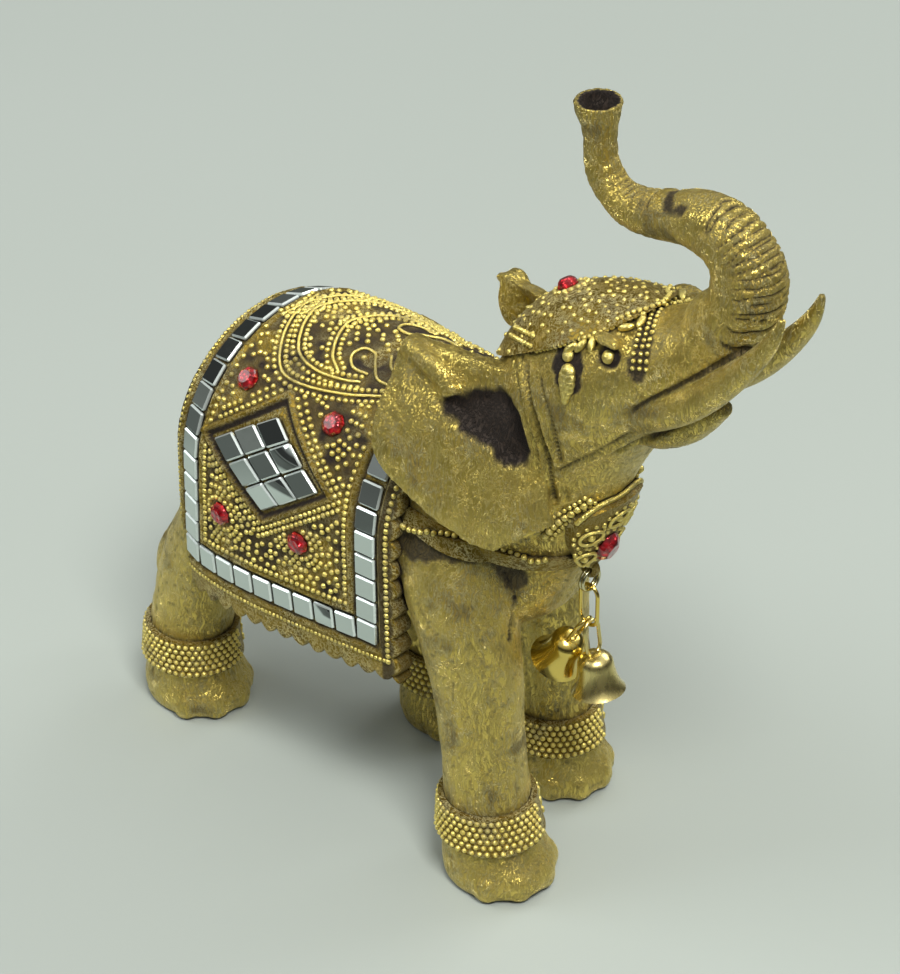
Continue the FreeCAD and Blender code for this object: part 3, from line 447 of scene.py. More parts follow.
outer_face = fade(normals[:, 1] * np.sign(points[:, 1]), 0.05, 0.3) * fade(np.abs(points[:, 1]), 11.5, 13.0)
EAR_HOLLOW = [(11.6, 106.2), (16.6, 109.6), (22.4, 111.9), (28.8, 109.0), (31.4, 102.1), (30.2, 98.0),
              (27.4, 97.4), (23.7, 100.5), (17.5, 103.2)]
hollow = inside_outline(points, EAR_HOLLOW)
shift = shift - 1.7 * fade(hollow, -0.6, 2.4) * outer_face
ragged = 0.7 * value_noise(points / 1.4, 27)
dark = np.maximum(dark, fade(hollow + ragged, -0.9, 0.9) * outer_face)
ear_leaf = fade(points[:, 0], 30.0, 24.0) * fade(points[:, 2], 79.0, 82.0) * outer_face
flow = 0.5 * np.sin(points[:, 0] * 0.9 + points[:, 2] * 0.45 + 2.0 * value_noise(points / 6.0, 28))
shift = shift + ear_leaf * 0.25 * flow
neck_folds = ([(26.1, -12.2, 120.6), (31, -14.8, 113.3), (34.5, -14.5, 103.8), (34.6, -11.6, 91.4)],
              [(32.9, -14.4, 118.3), (36.3, -15.3, 111.7), (37.2, -13.4, 102.4)],
              [(28.5, -13.0, 119.5), (33.0, -15.0, 110.0), (36.0, -13.6, 99.0), (37.0, -10.6, 92.0)],
              [(24.0, -12.0, 117.5), (28.5, -14.0, 112.5), (32.4, -14.6, 104.5), (32.6, -12.6, 94.0)],
              [(36.7, -12.8, 99.6), (48.3, -10, 110.2), (62.4, -10.7, 121.4)],
              [(51.6, -5.7, 110.7), (47, -8.3, 106.6)])
for depth, fold in zip((0.9, 0.6, 0.7, 0.6, 0.5, 0.5), neck_folds):
    gap = line_distance(points, fold)
    shift = shift - depth * fade(gap, 1.1, 0.1) + 0.35 * depth * fade(np.abs(gap - 1.5), 0.9, 0.1)
    dark = np.maximum(dark, fade(gap, 0.75, 0.2) * 0.85)
eye_gap = line_distance(points, [(46.2, -11.9, 128.2), (47.0, -11.9, 128.2)])
temple_gap = line_distance(points, [(38.2, -13.2, 125.2), (39.6, -14.3, 121.4)])
band_gap = line_distance(points, [(46.8, 0, 134.6), (47.4, -1.8, 134.5), (50.5, -6.6, 132.9),
                                  (52.2, -9.9, 131), (53, -11.8, 127.7)])
shift = shift - 0.6 * fade(np.abs(eye_gap - 1.7), 0.8, 0.2) - 0.3 * fade(band_gap, 1.8, 0.6)
dark = np.maximum(dark, fade(eye_gap, 2.5, 1.9))
dark = np.maximum(dark, fade(temple_gap + ragged, 4.0, 3.2))
dark = np.maximum(dark, fade(band_gap + ragged, 2.6, 1.6) * 0.95)
# The groove round each tusk is sunk and painted dark as shadow; the tusks themselves stay smooth and undarkened.
shift = (shift - 0.5 * tusk_shadow_groove) * (1.0 - tusk)
dark = np.maximum(dark, tusk_shadow_groove * 0.9) * (1.0 - tusk)
# Painted shade: the inside of the nostril at the trunk's tip is painted fully dark.
nostril_shade = (points[:, 2] > 163.0) & ((points[:, 0] - 32.9) * normals[:, 0] + points[:, 1] * normals[:, 1] < -0.2)
dark = np.where(nostril_shade, 1.0, dark)
points = points + normals * shift[:, None]
write_points(head.data, points, dark)
head.data.materials.append(fur_gold)
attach(head, "figure")
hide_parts(*(head_names + ["head"]))

# Saddle blanket
# A raised cloth cast over the back: dark channels frame the mirror strips, a raised lip frames the diamond,
# and the hem and the front edge end in small scallops.
REAR_EDGE = (-55.34, 50.0, 3.0)
FRONT_EDGE_X = 6.06
HEM_Z = 35.0
HEM_RISE = math.tan(math.radians(4.5))
REAR_STRIP_IN = 6.1
BOTTOM_STRIP_UP = 10.6
FRONT_STRIP_IN = 7.4
DIAMOND = (-26.94, 77.2, 14.2, 10.6)


def rear_edge(z):
    return REAR_EDGE[0] + (z - REAR_EDGE[1]) * math.tan(math.radians(REAR_EDGE[2]))


def hem_height(x):
    return HEM_Z + (x - REAR_EDGE[0]) * HEM_RISE


def border_distances(x, z):
    """Distances in millimetres to the middle lines of the rear, bottom and front mirror strips."""
    rear = np.abs(x - rear_edge(z) - REAR_STRIP_IN)
    bottom = np.abs(z - hem_height(x) - BOTTOM_STRIP_UP)
    front = np.abs(x - FRONT_EDGE_X + FRONT_STRIP_IN)
    rear = np.where(z > hem_height(x) + 8.4, rear, 99.0)
    bottom = np.where((x > rear_edge(z) + 3.0) & (x < FRONT_EDGE_X - 4.6), bottom, 99.0)
    front = np.where((z > hem_height(x) + 8.4) & (z < 89.0), front, 99.0)
    return rear, bottom, front


def diamond_distance(x, z):
    """How far outside the mirror diamond a place is, in millimetres, negative inside."""
    centre_x, centre_z, half_wide, half_tall = DIAMOND
    share = np.abs(x - centre_x) / half_wide + np.abs(z - centre_z) / half_tall - 1.0
    return share * half_wide * half_tall / math.hypot(half_wide, half_tall)


blanket = remeshed("blanket", joined_nodes(["saddle_blanket"]), 0.52 * MM, 1)
points, normals = read_points(blanket.data)
x, y, z = points.T
outside = (normals[:, 1] * np.sign(y) * (np.abs(y) > 12.0) + normals[:, 2] * (z > 80.0) > 0.25).astype(float)
on_side = fade(np.abs(y), 13.0, 15.0)
rear, bottom, front = border_distances(x, z)
rear_whole = np.abs(x - rear_edge(z) - REAR_STRIP_IN)
rear = np.where(np.abs(y) < 15.0, rear_whole, rear)
strip = np.minimum(rear, np.minimum(bottom, front))
frame_lip = np.exp(-((strip - 3.7) / 0.42) ** 2)
channel = fade(strip, 3.1, 2.6)
diamond = np.where(on_side > 0.5, diamond_distance(x, z), 99.0)
diamond_lip = np.exp(-((diamond - 1.7) / 0.40) ** 2)
pit = fade(diamond, 1.2, 0.7)
lump = value_noise(points / 2.4, 31) + value_noise(points / 1.1, 32)
shift = 0.55 * frame_lip + 0.75 * diamond_lip - 0.35 * channel - 0.45 * pit + 0.07 * lump
hem_gap = z - hem_height(x)
edge_gap = FRONT_EDGE_X - x
hem_wave = np.abs(np.sin(math.pi * x / 4.2)) ** 0.7
edge_wave = np.abs(np.sin(math.pi * z / 4.6)) ** 0.7
points = points + normals * (shift * outside)[:, None]
tuck = fade(hem_gap, 3.0, 0.0) * (1.0 - hem_wave) * 2.0
points[:, 2] += tuck * (np.abs(y) > 15.0)
points[:, 0] -= fade(edge_gap, 2.6, 0.0) * (1.0 - edge_wave) * 1.7 * (np.abs(y) > 12.0)
dark = np.maximum(fade(np.abs(strip - 2.75), 0.45, 0.15), fade(np.abs(diamond - 0.8), 0.7, 0.35) * on_side)
field = fade(strip, 4.3, 4.9) * fade(diamond, 2.1, 2.6) * fade(hem_gap, 12.0, 13.5)
field = field * fade(edge_gap, 1.6, 2.4)
worn = value_noise(points / 5.5, 33)
field = field * fade(worn, 0.55, 0.25)
dark = np.maximum(dark, field * (0.82 + 0.3 * value_noise(points / 1.6, 34)))
edge_field = fade(np.abs(FRONT_EDGE_X - 2.5 - x), 1.8, 1.2)
dark = np.maximum(dark, edge_field * 0.8)
# Painted shade: faces that turn inwards or downwards, such as the hem's underside and the cut edges, are painted
# half dark.
dark = np.maximum(dark * outside, fade(outside, 0.5, 0.0) * 0.5)
write_points(blanket.data, points, dark)
cloth_gold = gold_paint("antique_gold_cloth", "A8903A", "6A541E", 1.1, 0.2, 0.40, (1.0, 1.0, 1.0))
blanket.data.materials.append(cloth_gold)
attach(blanket, "figure")
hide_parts("saddle_blanket")

# Blanket beads
# Small round beads cast on the blanket in rows along its borders, round the diamond and the stones,
# and in loose contours between them; Geometry Nodes sets one dome on each point.


def surface_tree(piece):
    """A search tree over a finished piece, to seat small things on."""
    mesh = piece.data
    corners = [vertex.co.copy() for vertex in mesh.vertices]
    return BVHTree.FromPolygons(corners, [polygon.vertices[:] for polygon in mesh.polygons])


def side_spots(tree, flat, side):
    """Seats flat X and Z places on one side of a piece, looking from far out to that side."""
    spots = []
    for px, pz in flat:
        start = Vector((px, side * 60.0, pz)) * MM
        hit, normal, _, _ = tree.ray_cast(start, Vector((0, -side, 0)))
        if hit is not None:
            spots.append((hit, normal, px, pz))
    return spots


def arch_spot(tree, x, walk, side):
    """Seats a place given by X and by the angle down from the spine, looking in from outside."""
    turn = math.radians(90.0 - walk)
    reach = Vector((0.0, side * math.cos(turn), math.sin(turn)))
    centre = Vector((x, 0.0, 70.5)) * MM
    return tree.ray_cast(centre + reach * 0.07, -reach)


def run_on(tree, corners, pitch, radius, aside=0.0, lift=0.0):
    """Spots every pitch along a curve laid on a surface, shifted sideways by aside, in millimetres."""
    line = smooth_line(corners, pitch)
    spots = []
    for place, spot in enumerate(line):
        along = Vector(line[min(place + 1, len(line) - 1)] - line[max(place - 1, 0)]).normalized()
        hit, normal, _, _ = tree.find_nearest(Vector(spot) * MM)
        if aside:
            hit, normal, _, _ = tree.find_nearest(hit + normal.cross(along) * aside * MM)
        spots.append((hit + normal * lift * MM, normal, radius * MM))
    return spots


def mirrored_line(corners):
    """The same line on the elephant's other side."""
    return [(px, -py, pz) for px, py, pz in corners]


def dome_tree(material, segments, rings):
    """Geometry Nodes that sets a low dome of the stored size and turn on every point."""
    tree = bpy.data.node_groups.new("set_domes", "GeometryNodeTree")
    add_socket = tree.interface.new_socket
    add_socket("Points", in_out="INPUT", socket_type="NodeSocketGeometry")
    add_socket("Seed", in_out="INPUT", socket_type="NodeSocketInt").default_value = 5
    add_socket("Size variation", in_out="INPUT", socket_type="NodeSocketFloat").default_value = 0.12
    add_socket("Beads", in_out="OUTPUT", socket_type="NodeSocketGeometry")
    given = add_node(tree, "NodeGroupInput")
    ball = add_node(tree, "GeometryNodeMeshUVSphere", {"Segments": segments, "Rings": rings, "Radius": 1.0})
    size = add_node(tree, "GeometryNodeInputNamedAttribute", {"Name": "size"}, data_type="FLOAT")
    turn = add_node(tree, "GeometryNodeInputNamedAttribute", {"Name": "turn"}, data_type="FLOAT_VECTOR")
    facing = add_node(tree, "FunctionNodeAlignEulerToVector", {"Vector": turn.outputs["Attribute"]}, axis="Z")
    low = add_node(tree, "ShaderNodeMath", {0: 1.0, 1: given.outputs["Size variation"]}, operation="SUBTRACT")
    vary = add_node(tree, "FunctionNodeRandomValue",
                    {"Min": low.outputs[0], "Max": 1.0, "Seed": given.outputs["Seed"]}, data_type="FLOAT")
    scale = add_node(tree, "ShaderNodeMath", {0: size.outputs["Attribute"], 1: vary.outputs["Value"]},
                     operation="MULTIPLY")
    spread = add_node(tree, "GeometryNodeInstanceOnPoints",
                      {"Points": given.outputs["Points"], "Instance": ball.outputs["Mesh"],
                       "Rotation": facing.outputs[0], "Scale": scale.outputs[0]})
    real = add_node(tree, "GeometryNodeRealizeInstances", {0: spread.outputs[0]})
    smooth = add_node(tree, "GeometryNodeSetShadeSmooth", {0: real.outputs[0]})
    painted = add_node(tree, "GeometryNodeSetMaterial", {0: smooth.outputs[0], "Material": material})
    add_node(tree, "NodeGroupOutput", {0: painted.outputs[0]})
    return tree


def grown_from_points(name, spots, tree):
    """Runs a Geometry Nodes tree on spots of (place, normal, size in metres) and keeps the plain mesh."""
    mesh = bpy.data.meshes.new(name)
    mesh.from_pydata([spot[0] for spot in spots], [], [])
    mesh.attributes.new("size", "FLOAT", "POINT").data.foreach_set("value", [spot[2] for spot in spots])
    turns = [part for spot in spots for part in spot[1]]
    mesh.attributes.new("turn", "FLOAT_VECTOR", "POINT").data.foreach_set("vector", turns)
    piece = new_object(name, mesh)
    grow = piece.modifiers.new("grow", "NODES")
    grow.node_group = tree
    keep_result(piece)
    return piece


class SpotField:
    """Flat places kept at least a bead apart, on a grid of square cells."""

    def __init__(self, apart):
        self.apart = apart
        self.cells = {}

    def add(self, x, y, apart=None):
        gap = apart or self.apart
        cell = (int(math.floor(x / self.apart)), int(math.floor(y / self.apart)))
        for i in range(cell[0] - 1, cell[0] + 2):
            for j in range(cell[1] - 1, cell[1] + 2):
                for other_x, other_y in self.cells.get((i, j), ()):
                    if math.hypot(x - other_x, y - other_y) < gap:
                        return False
        self.cells.setdefault(cell, []).append((x, y))
        return True

    def places(self):
        return [place for cell in self.cells.values() for place in cell]


def run_between(start, end, pitch):
    """Flat places every pitch along a straight line."""
    length = math.hypot(end[0] - start[0], end[1] - start[1])
    count = max(int(length / pitch), 1)
    return [(start[0] + (end[0] - start[0]) * k / count, start[1] + (end[1] - start[1]) * k / count)
            for k in range(count + 1)]


def arc_points(centre, radii, start, end, pitch):
    """Flat places every pitch along an oval's arc, from one angle in degrees to another."""
    count = max(int(abs(math.radians(end - start)) * max(radii) / pitch), 2)
    turns = [math.radians(start + (end - start) * k / count) for k in range(count + 1)]
    return [(centre[0] + radii[0] * math.cos(turn), centre[1] + radii[1] * math.sin(turn))
            for turn in turns]


STONES = [(-37.84, 88.8), (-14.84, 89.0), (-38.84, 60.6), (-17.84, 63.7)]
blanket_tree = surface_tree(blanket)
BEAD_GAP = 1.32
BEAD_RADIUS = 0.62
BORDER_PITCH = 1.35
WIRE_ROOM = 1.9
beads = SpotField(BEAD_GAP)
ROW = 4.9
for px, pz in run_between((rear_edge(52) + REAR_STRIP_IN + ROW, hem_height(-45) + BOTTOM_STRIP_UP + ROW),
                          (FRONT_EDGE_X - FRONT_STRIP_IN - ROW, hem_height(-3) + BOTTOM_STRIP_UP + ROW),
                          BORDER_PITCH):
    beads.add(px, pz)
for k in range(32):
    pz = hem_height(-45) + BOTTOM_STRIP_UP + ROW + BORDER_PITCH * k
    beads.add(rear_edge(pz) + REAR_STRIP_IN + ROW, pz)
    if pz < 88.0:
        beads.add(FRONT_EDGE_X - FRONT_STRIP_IN - ROW, pz)
centre_x, centre_z, half_wide, half_tall = DIAMOND
for gap in (2.9, 4.2):
    grow = gap * math.hypot(half_wide, half_tall) / (half_wide * half_tall)
    corners = [(centre_x - half_wide * (1 + grow), centre_z), (centre_x, centre_z + half_tall * (1 + grow)),
               (centre_x + half_wide * (1 + grow), centre_z), (centre_x, centre_z - half_tall * (1 + grow))]
    for start, end in zip(corners, corners[1:] + corners[:1]):
        for px, pz in run_between(start, end, 1.38):
            beads.add(px, pz)
for stone_x, stone_z in STONES:
    for radius in (3.5, 4.8, 6.1):
        for px, pz in arc_points((stone_x, stone_z), (radius, radius), 0, 350, 1.3):
            beads.add(px, pz)
rng = np.random.RandomState(41)
for _ in range(9000):
    px, pz = rng.uniform(-52.0, 0.0), rng.uniform(44.0, 93.0)
    if value_noise(np.array([[px / 6.0, pz / 6.0, 3.3]]), 42)[0] < 0.5:
        beads.add(px, pz, 1.28 + 0.2 * rng.rand())


def bead_allowed(px, pz):
    """Whether a place lies in the bead field, off the strips, the diamond, the edges and the stones."""
    rear, bottom, front = border_distances(np.array([px]), np.array([pz]))
    near_strip = min(rear[0], bottom[0], front[0])
    if near_strip < 4.6 or diamond_distance(px, pz) < 2.4 or pz < hem_height(px) + 14.0:
        return False
    if px < rear_edge(pz) + 10.0 or (px > FRONT_EDGE_X - 11.5 and pz < 90.0) or px > FRONT_EDGE_X - 2.0:
        return False
    return all(math.hypot(px - sx, pz - sz) > 3.2 for sx, sz in STONES)


flat_beads = [(px, pz) for px, pz in beads.places() if bead_allowed(px, pz)]
edge_rows = []
for k in range(60):
    px = REAR_EDGE[0] + 2.0 + 1.0 * k
    if px < FRONT_EDGE_X - 2.0:
        edge_rows.append((px, hem_height(px) + 5.2, 0.5))
for k in range(44):
    pz = hem_height(0.0) + 5.5 + 1.4 * k
    if pz < 92.0:
        edge_rows.append((FRONT_EDGE_X - 2.5, pz, 0.66))
for k in range(46):
    pz = hem_height(-55.0) + 5.0 + 1.15 * k
    edge_rows.append((rear_edge(pz) + 1.2, pz, 0.48))
rubbed_gold = gold_paint("rubbed_gold", "FBEA8C", "D9C050", 1.4, 0.04, 0.30, (1.0, 1.0, 1.0), 0.45)
dome_group = dome_tree(rubbed_gold, 10, 6)
WIRES = ([(-42, 4.6, 94.9), (-39.3, -5.2, 95.3), (-35.4, -12.2, 93.5), (-31, -15.9, 91.7), (-24.3, -16.1, 91.7),
          (-15.6, -14.2, 92.9), (-9.3, -11.9, 94.4)],
         [(-38.6, 3.4, 95.6), (-36.3, -4.2, 95.8), (-32.4, -10.2, 94.4), (-28.9, -12.4, 93.8),
          (-24.2, -13.0, 93.6), (-19.3, -12.5, 93.9), (-15.2, -11.3, 94.4)],
         [(-29, 1.3, 96.8), (-27.6, -3.9, 96.6), (-24.5, -9, 95.4), (-20.9, -11.3, 94.5)],
         [(-15.2, -9.3, 95.2), (-18.6, -9.4, 95.2), (-21, -7.4, 96), (-20.4, -4.8, 96.5), (-17.6, -4.6, 96.6),
          (-15.4, -6.8, 96.1), (-12.6, -9.2, 95.4), (-9.4, -9.4, 95.4)],
         [(-14.4, -3.4, 96.8), (-12.2, -5.8, 96.4), (-9.4, -6.6, 96.2)])
wire_places = np.array([spot for wire in WIRES for spot in smooth_line(wire, 0.8)])


def clear_of_wires(hit, room):
    """Whether a place on the blanket keeps off the laid wires and their mirror images."""
    spot = np.array(hit) / MM
    folded = spot if spot[1] < 5.0 else spot * np.array([1.0, -1.0, 1.0])
    return np.min(np.linalg.norm(wire_places - folded, axis=1)) > room


for side, word in ((-1, "right"), (1, "left")):
    spots = []
    for hit, normal, px, pz in side_spots(blanket_tree, flat_beads, side):
        if abs(hit.y) > 10.5 * MM and clear_of_wires(hit, WIRE_ROOM):
            spots.append((hit, normal, BEAD_RADIUS * MM))
    for px, pz, radius in edge_rows:
        for hit, normal, _, _ in side_spots(blanket_tree, [(px, pz)], side):
            if abs(hit.y) > 12.0 * MM:
                spots.append((hit - normal * 0.1 * MM, normal, radius * MM))
    trim = grown_from_points(word + "_blanket_beads", spots, dome_group)
    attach(trim, "figure")

# Beads over the back
# The same beads over the spine, where the side rows end, and along the rear edge of the blanket.
spots = []
top_field = SpotField(BEAD_GAP)
WALK_SCALE = 0.40
rng = np.random.RandomState(43)
for _ in range(6000):
    px, walk = rng.uniform(-50.0, 4.0), rng.uniform(-56.0, 56.0)
    top_field.add(px, walk * WALK_SCALE, 1.28 + 0.2 * rng.rand())
for px, along in top_field.places():
    walk = along / WALK_SCALE
    side = 1 if walk > 0 else -1
    hit, normal, _, _ = arch_spot(blanket_tree, px, abs(walk), side)
    if hit is None or abs(hit.y) > 10.6 * MM or px < rear_edge(hit.z / MM) + 10.2:
        continue
    if value_noise(np.array([[px / 6.0, walk / 14.0, 1.1]]), 44)[0] < 0.55 and clear_of_wires(hit, WIRE_ROOM):
        spots.append((hit, normal, BEAD_RADIUS * MM))
for walk in np.arange(-64.0, 64.1, 2.6):
    side = 1 if walk > 0 else -1
    hit, normal, _, _ = arch_spot(blanket_tree, rear_edge(90.0) + 1.2, abs(walk), side)
    if hit is not None:
        spots.append((hit, normal, 0.55 * MM))
back_beads = grown_from_points("back_beads", spots, dome_group)
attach(back_beads, "figure")

# Blanket wires
# Thin wires laid in curls over the shoulders of the blanket. The long ones have a bead row on either side.
spots = []
for wire in WIRES:
    for line in (wire, mirrored_line(wire)):
        spots += run_on(blanket_tree, line, 0.28, 0.34, 0.0, 0.22)
        if wire is not WIRES[3] and wire is not WIRES[4]:
            spots += run_on(blanket_tree, line, 1.4, 0.6, 1.25)
            spots += run_on(blanket_tree, line, 1.4, 0.6, -1.25)
wires = grown_from_points("blanket_wires", spots, dome_group)
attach(wires, "figure")

# Cap beads
# Cast beads over the cap's crown, a double row round its rim and a ring round its stone.
dark_gold = gold_paint("darkened_gold", "9C8434", "4A3A14", 1.2, 0.12, 0.45, (1.0, 1.0, 1.0))
cap_tree = surface_tree(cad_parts["head_cap"])
CAP_STONE_X = 27.4
DOWN = Vector((0, 0, -1))
RIM = [(21.2, -8.9, 120), (28.5, -12.2, 122.7), (32.3, -12.4, 123), (36, -12.6, 124.7), (39.8, -11.6, 127.4),
       (43.3, -10.3, 129.4), (45.4, -6.1, 132.1), (47.6, -3.4, 134.3), (49, 0, 134.8)]
spots = []
for line in (RIM, mirrored_line(RIM)):
    spots += run_on(cap_tree, line, 1.15, 0.52, 0.0, 0.15)
    spots += run_on(cap_tree, [(px, py * 0.9, pz + 1.3) for px, py, pz in line], 1.2, 0.55, 0.0, 0.1)
crown = SpotField(1.5)
rng = np.random.RandomState(51)
for _ in range(2500):
    crown.add(rng.uniform(14.0, 48.0), rng.uniform(-12.0, 12.0))
for px, py in crown.places():
    hit, normal, _, _ = cap_tree.ray_cast(Vector((px, py, 170.0)) * MM, DOWN)
    if hit is not None and normal.z > 0.3 and math.hypot(px - CAP_STONE_X, py) > 3.2 and rng.rand() < 0.8:
        spots.append((hit - normal * 0.15 * MM, normal, (0.4 + 0.2 * rng.rand()) * MM))
for turn in np.arange(0.0, 360.0, 24.0):
    reach = (3.0 * math.cos(math.radians(turn)), 3.0 * math.sin(math.radians(turn)))
    hit, normal, _, _ = cap_tree.ray_cast(Vector((CAP_STONE_X + reach[0], reach[1], 170.0)) * MM, DOWN)
    if hit is not None:
        spots.append((hit, normal, 0.58 * MM))
cap_beads = grown_from_points("cap_beads", spots, dome_group)
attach(cap_beads, "figure")

# Face trim
# Eyes, a drop on each temple, the headband's bead rows and the cap's leaf shapes, all cast with the head.
head_tree = surface_tree(head)


def lobes_piece(name, lobes, material):
    """One object of ellipsoids: centre in millimetres, outward normal, up, and three radii."""
    grown = bmesh.new()
    for centre, normal, upward, radii in lobes:
        normal = Vector(normal).normalized()
        across = Vector(upward).cross(normal).normalized()
        turn = Matrix((across, normal.cross(across), normal)).transposed().to_4x4()
        add_ellipsoid(grown, Matrix.Translation(Vector(centre) * MM) @ turn, radii)
    mesh = bpy.data.meshes.new(name)
    grown.to_mesh(mesh)
    grown.free()
    for polygon in mesh.polygons:
        polygon.use_smooth = True
    mesh.materials.append(material)
    return new_object(name, mesh)


def seated(px, py, pz, side):
    """The nearest place on the head in millimetres, and its outward normal; side 1 is the elephant's left."""
    hit, normal, _, _ = head_tree.find_nearest(Vector((px, side * py, pz)) * MM)
    return hit / MM, normal


lobes = []
spots = []
UP = (0, 0, 1)
BAND = [(47.6, -1.8, 134.6), (50.5, -6.2, 133.1), (52.2, -9.5, 131.2), (53.4, -11.4, 128.4)]
TEMPLE_DROP = ((123.0, 1.6), (122.0, 1.9), (121.0, 1.9), (120.0, 1.6), (119.0, 1.2), (118.1, 0.8))
LEAVES = ((38.6, 12.3, 126.6, 0.6), (40.6, 11.8, 127.6, 0.15), (42.6, 11.2, 128.6, -0.3), (47.0, 7.6, 132.4, 0.5),
          (48.6, 5.6, 133.6, 0.1))
for side in (-1, 1):
    hit, normal = seated(46.6, 11.9, 128.2, side)
    lobes.append((hit - normal * 0.2, normal, UP, (1.25, 1.35, 1.1)))
    hit, normal = seated(38.0, 13.2, 125.4, side)
    lobes.append((hit, normal, UP, (1.3, 1.3, 0.9)))
    for drop_z, radius in TEMPLE_DROP:
        hit, normal = seated(39.6 + (122.0 - drop_z) * 0.1, 14.4, drop_z, side)
        lobes.append((hit + normal * 0.2, normal, UP, (radius, 1.5, 0.9)))
    line = BAND if side < 0 else mirrored_line(BAND)
    for aside in (-1.5, 0.0, 1.5):
        spots += run_on(head_tree, line, 1.3, 0.5, aside, 0.1)
    for leaf_x, leaf_y, leaf_z, lean in LEAVES:
        hit, normal = seated(leaf_x, leaf_y, leaf_z, side)
        lobes.append((hit + normal * 0.7, normal, (lean, 0, 1), (0.7, 1.6, 0.7)))
face_trim = lobes_piece("face_trim", lobes, rubbed_gold)
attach(face_trim, "figure")
headband = grown_from_points("headband_beads", spots, dome_group)
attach(headband, "figure")

# Breast strap beads
# A bead row along the strap from the blanket to the chest, and a collar row up to the throat.
strap_tree = surface_tree(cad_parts["breast_strap"])
spots = []
STRAP = [(5.4, -23.5, 77.3), (8.2, -21.8, 77.1), (12.2, -21.1, 78), (15.5, -19.2, 78.4),
         (20.5, -16.6, 77.6), (25.8, -14, 76.9), (29.4, -12.4, 75.7), (31.3, -10.3, 75.5)]
for line in (STRAP, mirrored_line(STRAP)):
    spots += run_on(strap_tree, line, 1.35, 0.66, 0.0, 0.1)
COLLAR = [(31.8, -11, 81.9), (34.5, -10, 86), (36.8, -8.5, 88.6), (38.9, -6.9, 91.1)]
for line in (COLLAR, mirrored_line(COLLAR)):
    spots += run_on(head_tree, line, 1.6, 0.85, 0.0, 0.2)
    spots += run_on(head_tree, line, 1.3, 0.55, -1.5, 0.1)
    spots += run_on(head_tree, line, 1.3, 0.55, 1.5, 0.1)
strap_beads = grown_from_points("strap_beads", spots, dome_group)
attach(strap_beads, "figure")

# Chest ornament
# Cast on the chest plate: five oval wire loops, each round one larger bead and inside an oval of smaller
# beads, and a rolled top edge.
plate_tree = surface_tree(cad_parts["chest_plate"])


def oval_ring(hit, normal, degrees, half_tall, half_wide, lift, radius):
    """Spots every so many degrees round an oval on the chest plate, sizes in millimetres."""
    across = Vector((0, 1, 0)).cross(normal).normalized()
    ring = []
    for turn in np.arange(0.0, 360.0, degrees):
        angle = math.radians(turn)
        reach = normal.cross(across) * math.cos(angle) * half_tall + across * math.sin(angle) * half_wide
        near, face, _, _ = plate_tree.find_nearest(hit + reach * MM)
        ring.append((near + face * lift * MM, face, radius * MM))
    return ring


spots = []
LOOPS = [(40.1, 0.0, 84.2), (38.3, -5.4, 81.4), (38.3, 5.4, 81.4), (36.0, -4.6, 74.9), (36.0, 4.6, 74.9)]
for loop_centre in LOOPS:
    hit, normal, _, _ = plate_tree.find_nearest(Vector(loop_centre) * MM)
    spots += oval_ring(hit, normal, 9.0, 2.5, 1.9, 0.25, 0.42)
    spots.append((hit, normal, 0.85 * MM))
    spots += oval_ring(hit, normal, 30.0, 3.8, 3.2, 0.0, 0.5)
TOP_EDGE = [(37.6, -8.6, 86.2), (39.7, -5.0, 88.9), (40.8, 0, 89.6), (39.7, 5.0, 88.9), (37.6, 8.6, 86.2)]
spots += run_on(plate_tree, TOP_EDGE, 0.4, 0.6, 0.0, 0.2)
ornament = grown_from_points("chest_ornament", spots, dome_group)
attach(ornament, "figure")

# Anklet beads
# Rows of cast beads round each anklet, with a smooth clasp left plain towards the front inner side.
ANKLES = (("front_right", 22.2, -15.3), ("front_left", 11.6, 15.5), ("rear_right", -60.3, -15.4),
          ("rear_left", -17.6, 14.7))
BEADS_ROUND = 44
for leg_name, foot_x, foot_y in ANKLES:
    band_tree = surface_tree(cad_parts[leg_name + "_anklet"])
    spots = []
    for row in range(6):
        pz = 11.2 + 1.28 * row
        for step in range(BEADS_ROUND):
            turn = 2.0 * math.pi * (step + 0.5 * (row % 2)) / BEADS_ROUND
            if abs(math.degrees(turn) - 40.0) < 13.0:
                continue
            reach = Vector((math.cos(turn), math.sin(turn), 0.0))
            start = Vector((foot_x, foot_y, pz)) * MM + reach * 0.03
            hit, normal, _, _ = band_tree.ray_cast(start, -reach)
            if hit is not None and abs(normal.z) < 0.7:
                spots.append((hit, normal, 0.6 * MM))
    anklet_beads = grown_from_points(leg_name + "_anklet_beads", spots, dome_group)
    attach(anklet_beads, "figure")

# Mirror tiles
# Silvered glass mosaic tiles with ground edges, glued in the strips' channels and in the diamond.
mirror, tree, shader, place = new_material("silvered_glass")
haze = add_node(tree, "ShaderNodeTexNoise", {"Vector": place, "Scale": 700.0, "Detail": 3.0})
shine = add_node(tree, "ShaderNodeMapRange", {0: haze.outputs[0], 1: 0.35, 2: 0.8, 3: 0.02, 4: 0.10})
feed(tree, shader, {"Base Color": linear("CFD8D4"), "Metallic": 1.0, "Roughness": shine.outputs[0]})
ground_edge, tree, shader, place = new_material("ground_glass_edge")
feed(tree, shader, {"Base Color": linear("DDE6E2"), "Metallic": 0.7, "Roughness": 0.22})

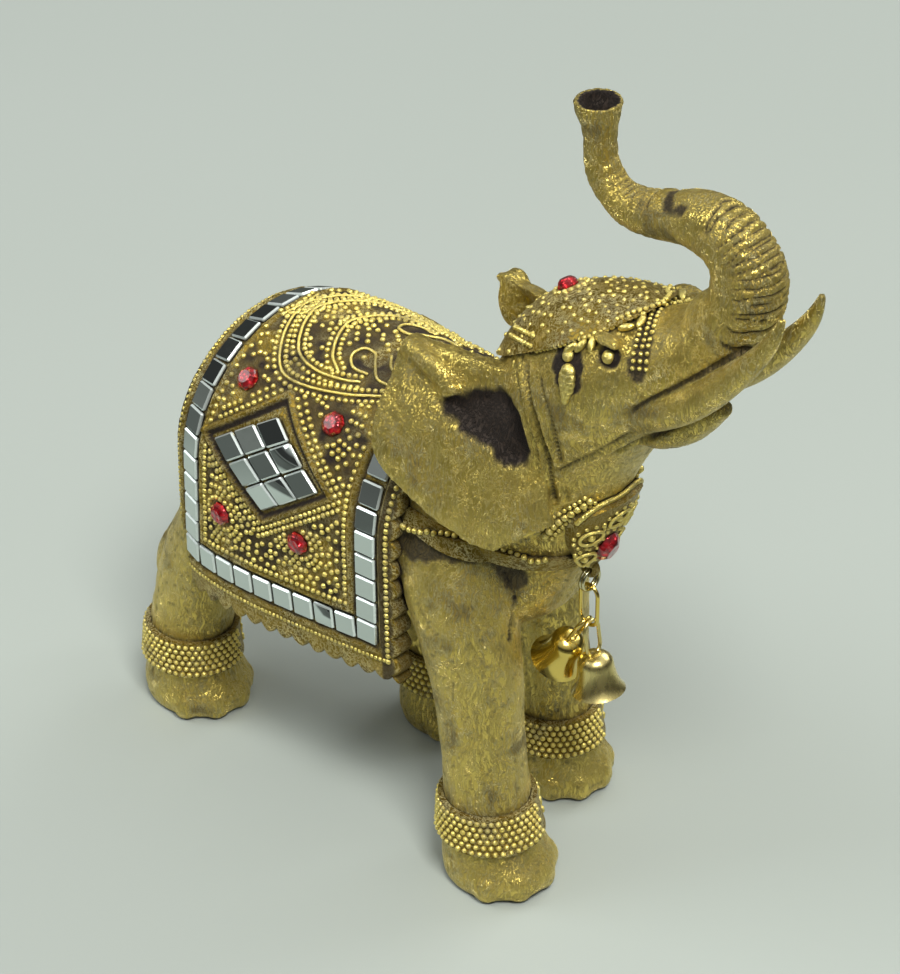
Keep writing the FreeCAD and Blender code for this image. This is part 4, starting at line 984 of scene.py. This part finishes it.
tile_nodes = ["rear_border_mirrors", "right_border_mirrors", "left_border_mirrors", "right_diamond_mirrors",
              "left_diamond_mirrors"]
for name in tile_nodes:
    tiles = joined_nodes([name])
    bmesh.ops.dissolve_limit(tiles, angle_limit=math.radians(2), verts=tiles.verts, edges=tiles.edges)
    bmesh.ops.bevel(tiles, geom=tiles.edges[:], offset=0.32 * MM, segments=1, affect="EDGES", profile=0.5)
    for face in tiles.faces:
        face.material_index = 0 if face.calc_area() > 9.0 * MM * MM else 1
    mesh = bpy.data.meshes.new(name + "_glass")
    tiles.to_mesh(mesh)
    tiles.free()
    mesh.materials.append(mirror)
    mesh.materials.append(ground_edge)
    glass = new_object(name + "_glass", mesh)
    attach(glass, "figure")
    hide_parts(name)

# Stones
# Red faceted glass with a foil back: the CAD solids, kept, each facet painted from bright to dark red as painted
# glints.


def repaint(name, material):
    """Gives a kept CAD node its one material."""
    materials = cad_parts[name].data.materials
    materials.clear()
    materials.append(material)


red_glass, tree, shader, place = new_material("foiled_red_glass")
# Painted glints: each facet cell goes from bright red at its middle to dark red at its edge, as light caught and
# missed.
cells = add_node(tree, "ShaderNodeTexVoronoi", {"Vector": place, "Scale": 900.0})
facet_glint = add_node(tree, "ShaderNodeMix", {0: cells.outputs["Distance"], 6: linear("E01022"), 7: linear("3A0006")},
                 data_type="RGBA")
facets = add_node(tree, "ShaderNodeBump", {"Height": cells.outputs["Distance"], "Distance": 0.5 * MM})
feed(tree, shader, {"Base Color": facet_glint.outputs[2], "Normal": facets.outputs[0], "Metallic": 0.55,
                    "Roughness": 0.08, "Coat Weight": 1.0, "Coat Roughness": 0.03})
for name in ("cap_stone", "chest_stone", "right_blanket_stones", "left_blanket_stones"):
    repaint(name, red_glass)

# Cap, strap, chest plate and anklets
# Zones of the same casting, kept as the CAD solids under darker rubbed paint, so their beads stand out.
repaint("head_cap", cloth_gold)
for name in ["breast_strap", "chest_plate"] + [ankle[0] + "_anklet" for ankle in ANKLES]:
    repaint(name, dark_gold)

# Bells and their ring, link and clappers
# Thin turned brass bells, a bent brass wire link, a plated split ring and darkened clappers:
# the CAD solids, kept.


def plain_metal(name, colour, roughness, scratch):
    """Bare metal with fine uneven polish."""
    material, tree, shader, place = new_material(name)
    mapped = add_node(tree, "ShaderNodeMapping", {"Vector": place, "Scale": (900.0, 900.0, 120.0)})
    grain = add_node(tree, "ShaderNodeTexNoise", {"Vector": mapped.outputs[0], "Scale": 1.0, "Detail": 3.0})
    rough = add_node(tree, "ShaderNodeMapRange", {0: grain.outputs[0], 3: roughness * 0.6, 4: roughness * 1.5})
    bump = add_node(tree, "ShaderNodeBump", {"Height": grain.outputs[0], "Distance": scratch * MM})
    feed(tree, shader, {"Base Color": linear(colour), "Metallic": 1.0, "Roughness": rough.outputs[0],
                        "Normal": bump.outputs[0]})
    return material


satin_brass = plain_metal("satin_brass", "DCCB86", 0.26, 0.05)
bright_brass = plain_metal("bright_brass", "DCC468", 0.16, 0.01)
plated_steel = plain_metal("plated_steel", "C9C39A", 0.18, 0.01)
dark_steel = plain_metal("darkened_steel", "3A2E1E", 0.2, 0.01)
for name, material in (("front_bell", satin_brass), ("rear_bell", bright_brass), ("chain_link", bright_brass),
                       ("jump_ring", plated_steel), ("front_clapper", dark_steel), ("rear_clapper", dark_steel)):
    repaint(name, material)
